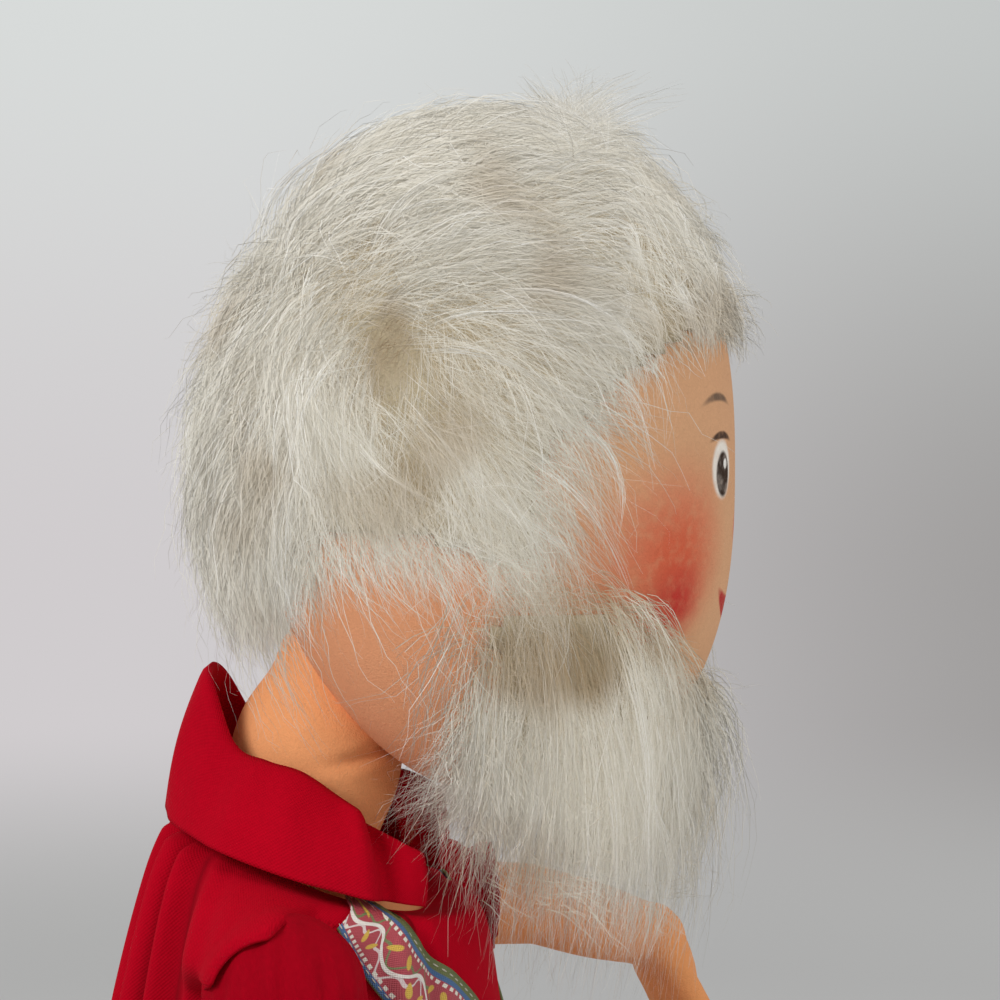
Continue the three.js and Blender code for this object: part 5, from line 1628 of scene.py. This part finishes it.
def tuft_locks(count):
    """Locks standing up where the hair from behind meets the fringe."""
    x = 10 * rng.normal(size=count)
    y = -19 + 3 * rng.normal(size=count)
    p = np.stack([x, y, np.full(count, 60.0)], axis=1) * MM
    p /= head_level(p)[:, None]
    tall = (9 + 9 * rng.random(count)) * MM
    lean = 0.3 * rng.normal(size=(count, 2))
    curl = 0.5 * rng.normal(size=(count, 2))
    share = np.linspace(0, 1, 8)[None, :, None]
    tall = tall[:, None, None]
    flat = lean[:, None, :] * share + curl[:, None, :] * share**2
    rise = np.sqrt(share) * np.ones((count, 1, 1))
    return p[:, None, :] + head_middle + tall * np.concatenate([flat, rise], axis=2)


# The tuft is whitened by the same raised shade: a painted highlight.
fur_piece("wig_tuft", tuft_locks(110), Seed=32, **{**painted_highlight_look, "Frizz": 5 * MM, "Tip Spread": 1.2})

# The beard: the same fur, glued from ear to ear below the mouth. It is brushed forward along its
# upper edge, swells over the chin, hangs and thins out to long wisps at its end.


def beard_top(y):
    """Height of the beard's upper edge, in millimetres from the head's middle."""
    return np.interp(y, [-50, -44, -38, -33, -26, -15, -4, 3], [-46, -44, -36, -27, -19, -17, -20, -24])


def off_beard(p, inset=7.0):
    x, y, z = (p / MM).T
    return (y > 1 - inset) | (z > beard_top(y) - inset) | (z < inset - 61)


def beard_places(count):
    p = scattered(count)
    p = p[~off_beard(p, 0.0)]
    parting = np.linalg.norm((p / MM - beard_parting[0])[:, 1:] / beard_parting[1][1:], axis=1)
    return p[rng.random(len(p)) < 0.3 + 0.7 * smoothstep(parting, 0.1, 1.0)]


def hanging_locks(roots, swell, reach, steps=9):
    """Locks that swell out from the head, then hang to the beard's lower edge, nearer its middle."""
    n = outward(roots)
    x, y, z = (roots / MM).T
    crest = np.clip(1 - (beard_top(y) - z) / 16, 0, 1) * (1 - smoothstep(-y, 28, 38)) * rng.random(len(roots))
    forward = 12 * crest
    end_y = y - forward + 0.5 * np.maximum(y + 22, 0) - 0.25 * np.minimum(y + 22, 0)
    edge = ([-45, -38, -32, -22, -12, -4, 4, 12], [-74, -86, -100, -106, -103, -95, -84, -70])
    drop = np.maximum((z - np.interp(end_y, *edge)) * reach, 10)
    out = n[:, :2] / np.maximum(np.linalg.norm(n[:, :2], axis=1), 0.3)[:, None]
    drift = 4.0 * rng.normal(size=(len(roots), 2))
    wave = 1.6 * rng.normal(size=(len(roots), 2))
    turns = 3 + 7 * rng.random(len(roots))
    start = 6.3 * rng.random(len(roots))
    points = []
    for share in np.linspace(0, 1, steps + 1) ** 1.3:
        away = math.sin(math.pi * min(1.0, 0.12 + 0.75 * share)) - math.sin(math.pi * 0.12)
        brushed = 1 - math.exp(-5 * share)
        closing = share**1.6
        over = y - forward * brushed + (end_y - y + forward) * closing
        flat = np.stack([x * (1 - 0.55 * closing), over], axis=1)
        flat = flat + out * (swell * away)[:, None] + drift * share
        flat = flat + wave * (np.sin(turns * share + start) - np.sin(start))[:, None] * min(1.0, 3 * share)
        rise = (1.5 + 4.5 * crest) * math.sin(math.pi * min(1.0, 2.6 * share))
        height = z - drop * share**1.3 + rise
        p = np.concatenate([flat, height[:, None]], axis=1) * MM
        points.append(kept_outside(p, 0.8 * MM) if share else p)
    return np.stack(points, axis=1) + head_middle


beard_middle = head_middle + np.array((0, -24, -60)) * MM
beard_half = (34 * MM, 26 * MM, 60 * MM)
beard_parting = np.array([(0, -23, -35), (0, 8, 10)])
beard_fibre = fur_fibre("beard_fibre", beard_middle, beard_half, 0.7, beard_parting)
backing_piece("beard_backing", off_beard, "beard")
in_beard = {"Material": beard_fibre, "Middle": tuple(beard_middle)}
places = beard_places(5600)
locks = hanging_locks(places, 2 + 7 * rng.random(len(places)), 0.25 + 0.8 * rng.random(len(places)))
beard_look = {
    **in_beard,
    "Frizz": 8.0 * MM,
    "Lock Width": 2.6 * MM,
    "Tip Spread": 3.0,
    "Strand Width": 0.13 * MM,
    "Shortest": 0.25,
}
nearer = locks[:, 0, 0] < head_middle[0]
fur_piece("right_beard", locks[nearer], Seed=40, Strands=22, **beard_look)
fur_piece("left_beard", locks[~nearer], Seed=41, Strands=22, **beard_look)

station = rng.integers(0, locks.shape[1] - 2, len(locks))
starts = locks[np.arange(len(locks)), station]
way = unit(rng.normal(size=starts.shape) + np.array((0, -0.2, -0.9)))
reach = (6 + 8 * rng.random(len(locks)))[:, None, None] * MM
fuzz = starts[:, None, :] + way[:, None, :] * reach * np.linspace(0, 1, 6)[None, :, None]
fuzz = kept_outside((fuzz - head_middle).reshape(-1, 3), 1.0 * MM).reshape(fuzz.shape) + head_middle
fuzz_look = {**fuzz_look, **in_beard, "Strands": 12}
fur_piece("beard_fuzz", fuzz, Seed=44, Bright=-0.1, **fuzz_look)

places = beard_places(360)
strands = hanging_locks(places, 8 + 4 * rng.random(len(places)), 0.85 + 0.25 * rng.random(len(places)))
# Every other one of these locks is whitened by a raised shade: painted highlights on the beard.
fur_piece("beard_bright_locks", strands[::2], Seed=42, **{**painted_highlight_look, **in_beard})
loose = {**wisp_look, **in_beard, "Strands": 12, "Tip Spread": 3.4}
fur_piece("beard_wisps", strands, Seed=43, Bright=0.2, Shortest=0.5, **loose)
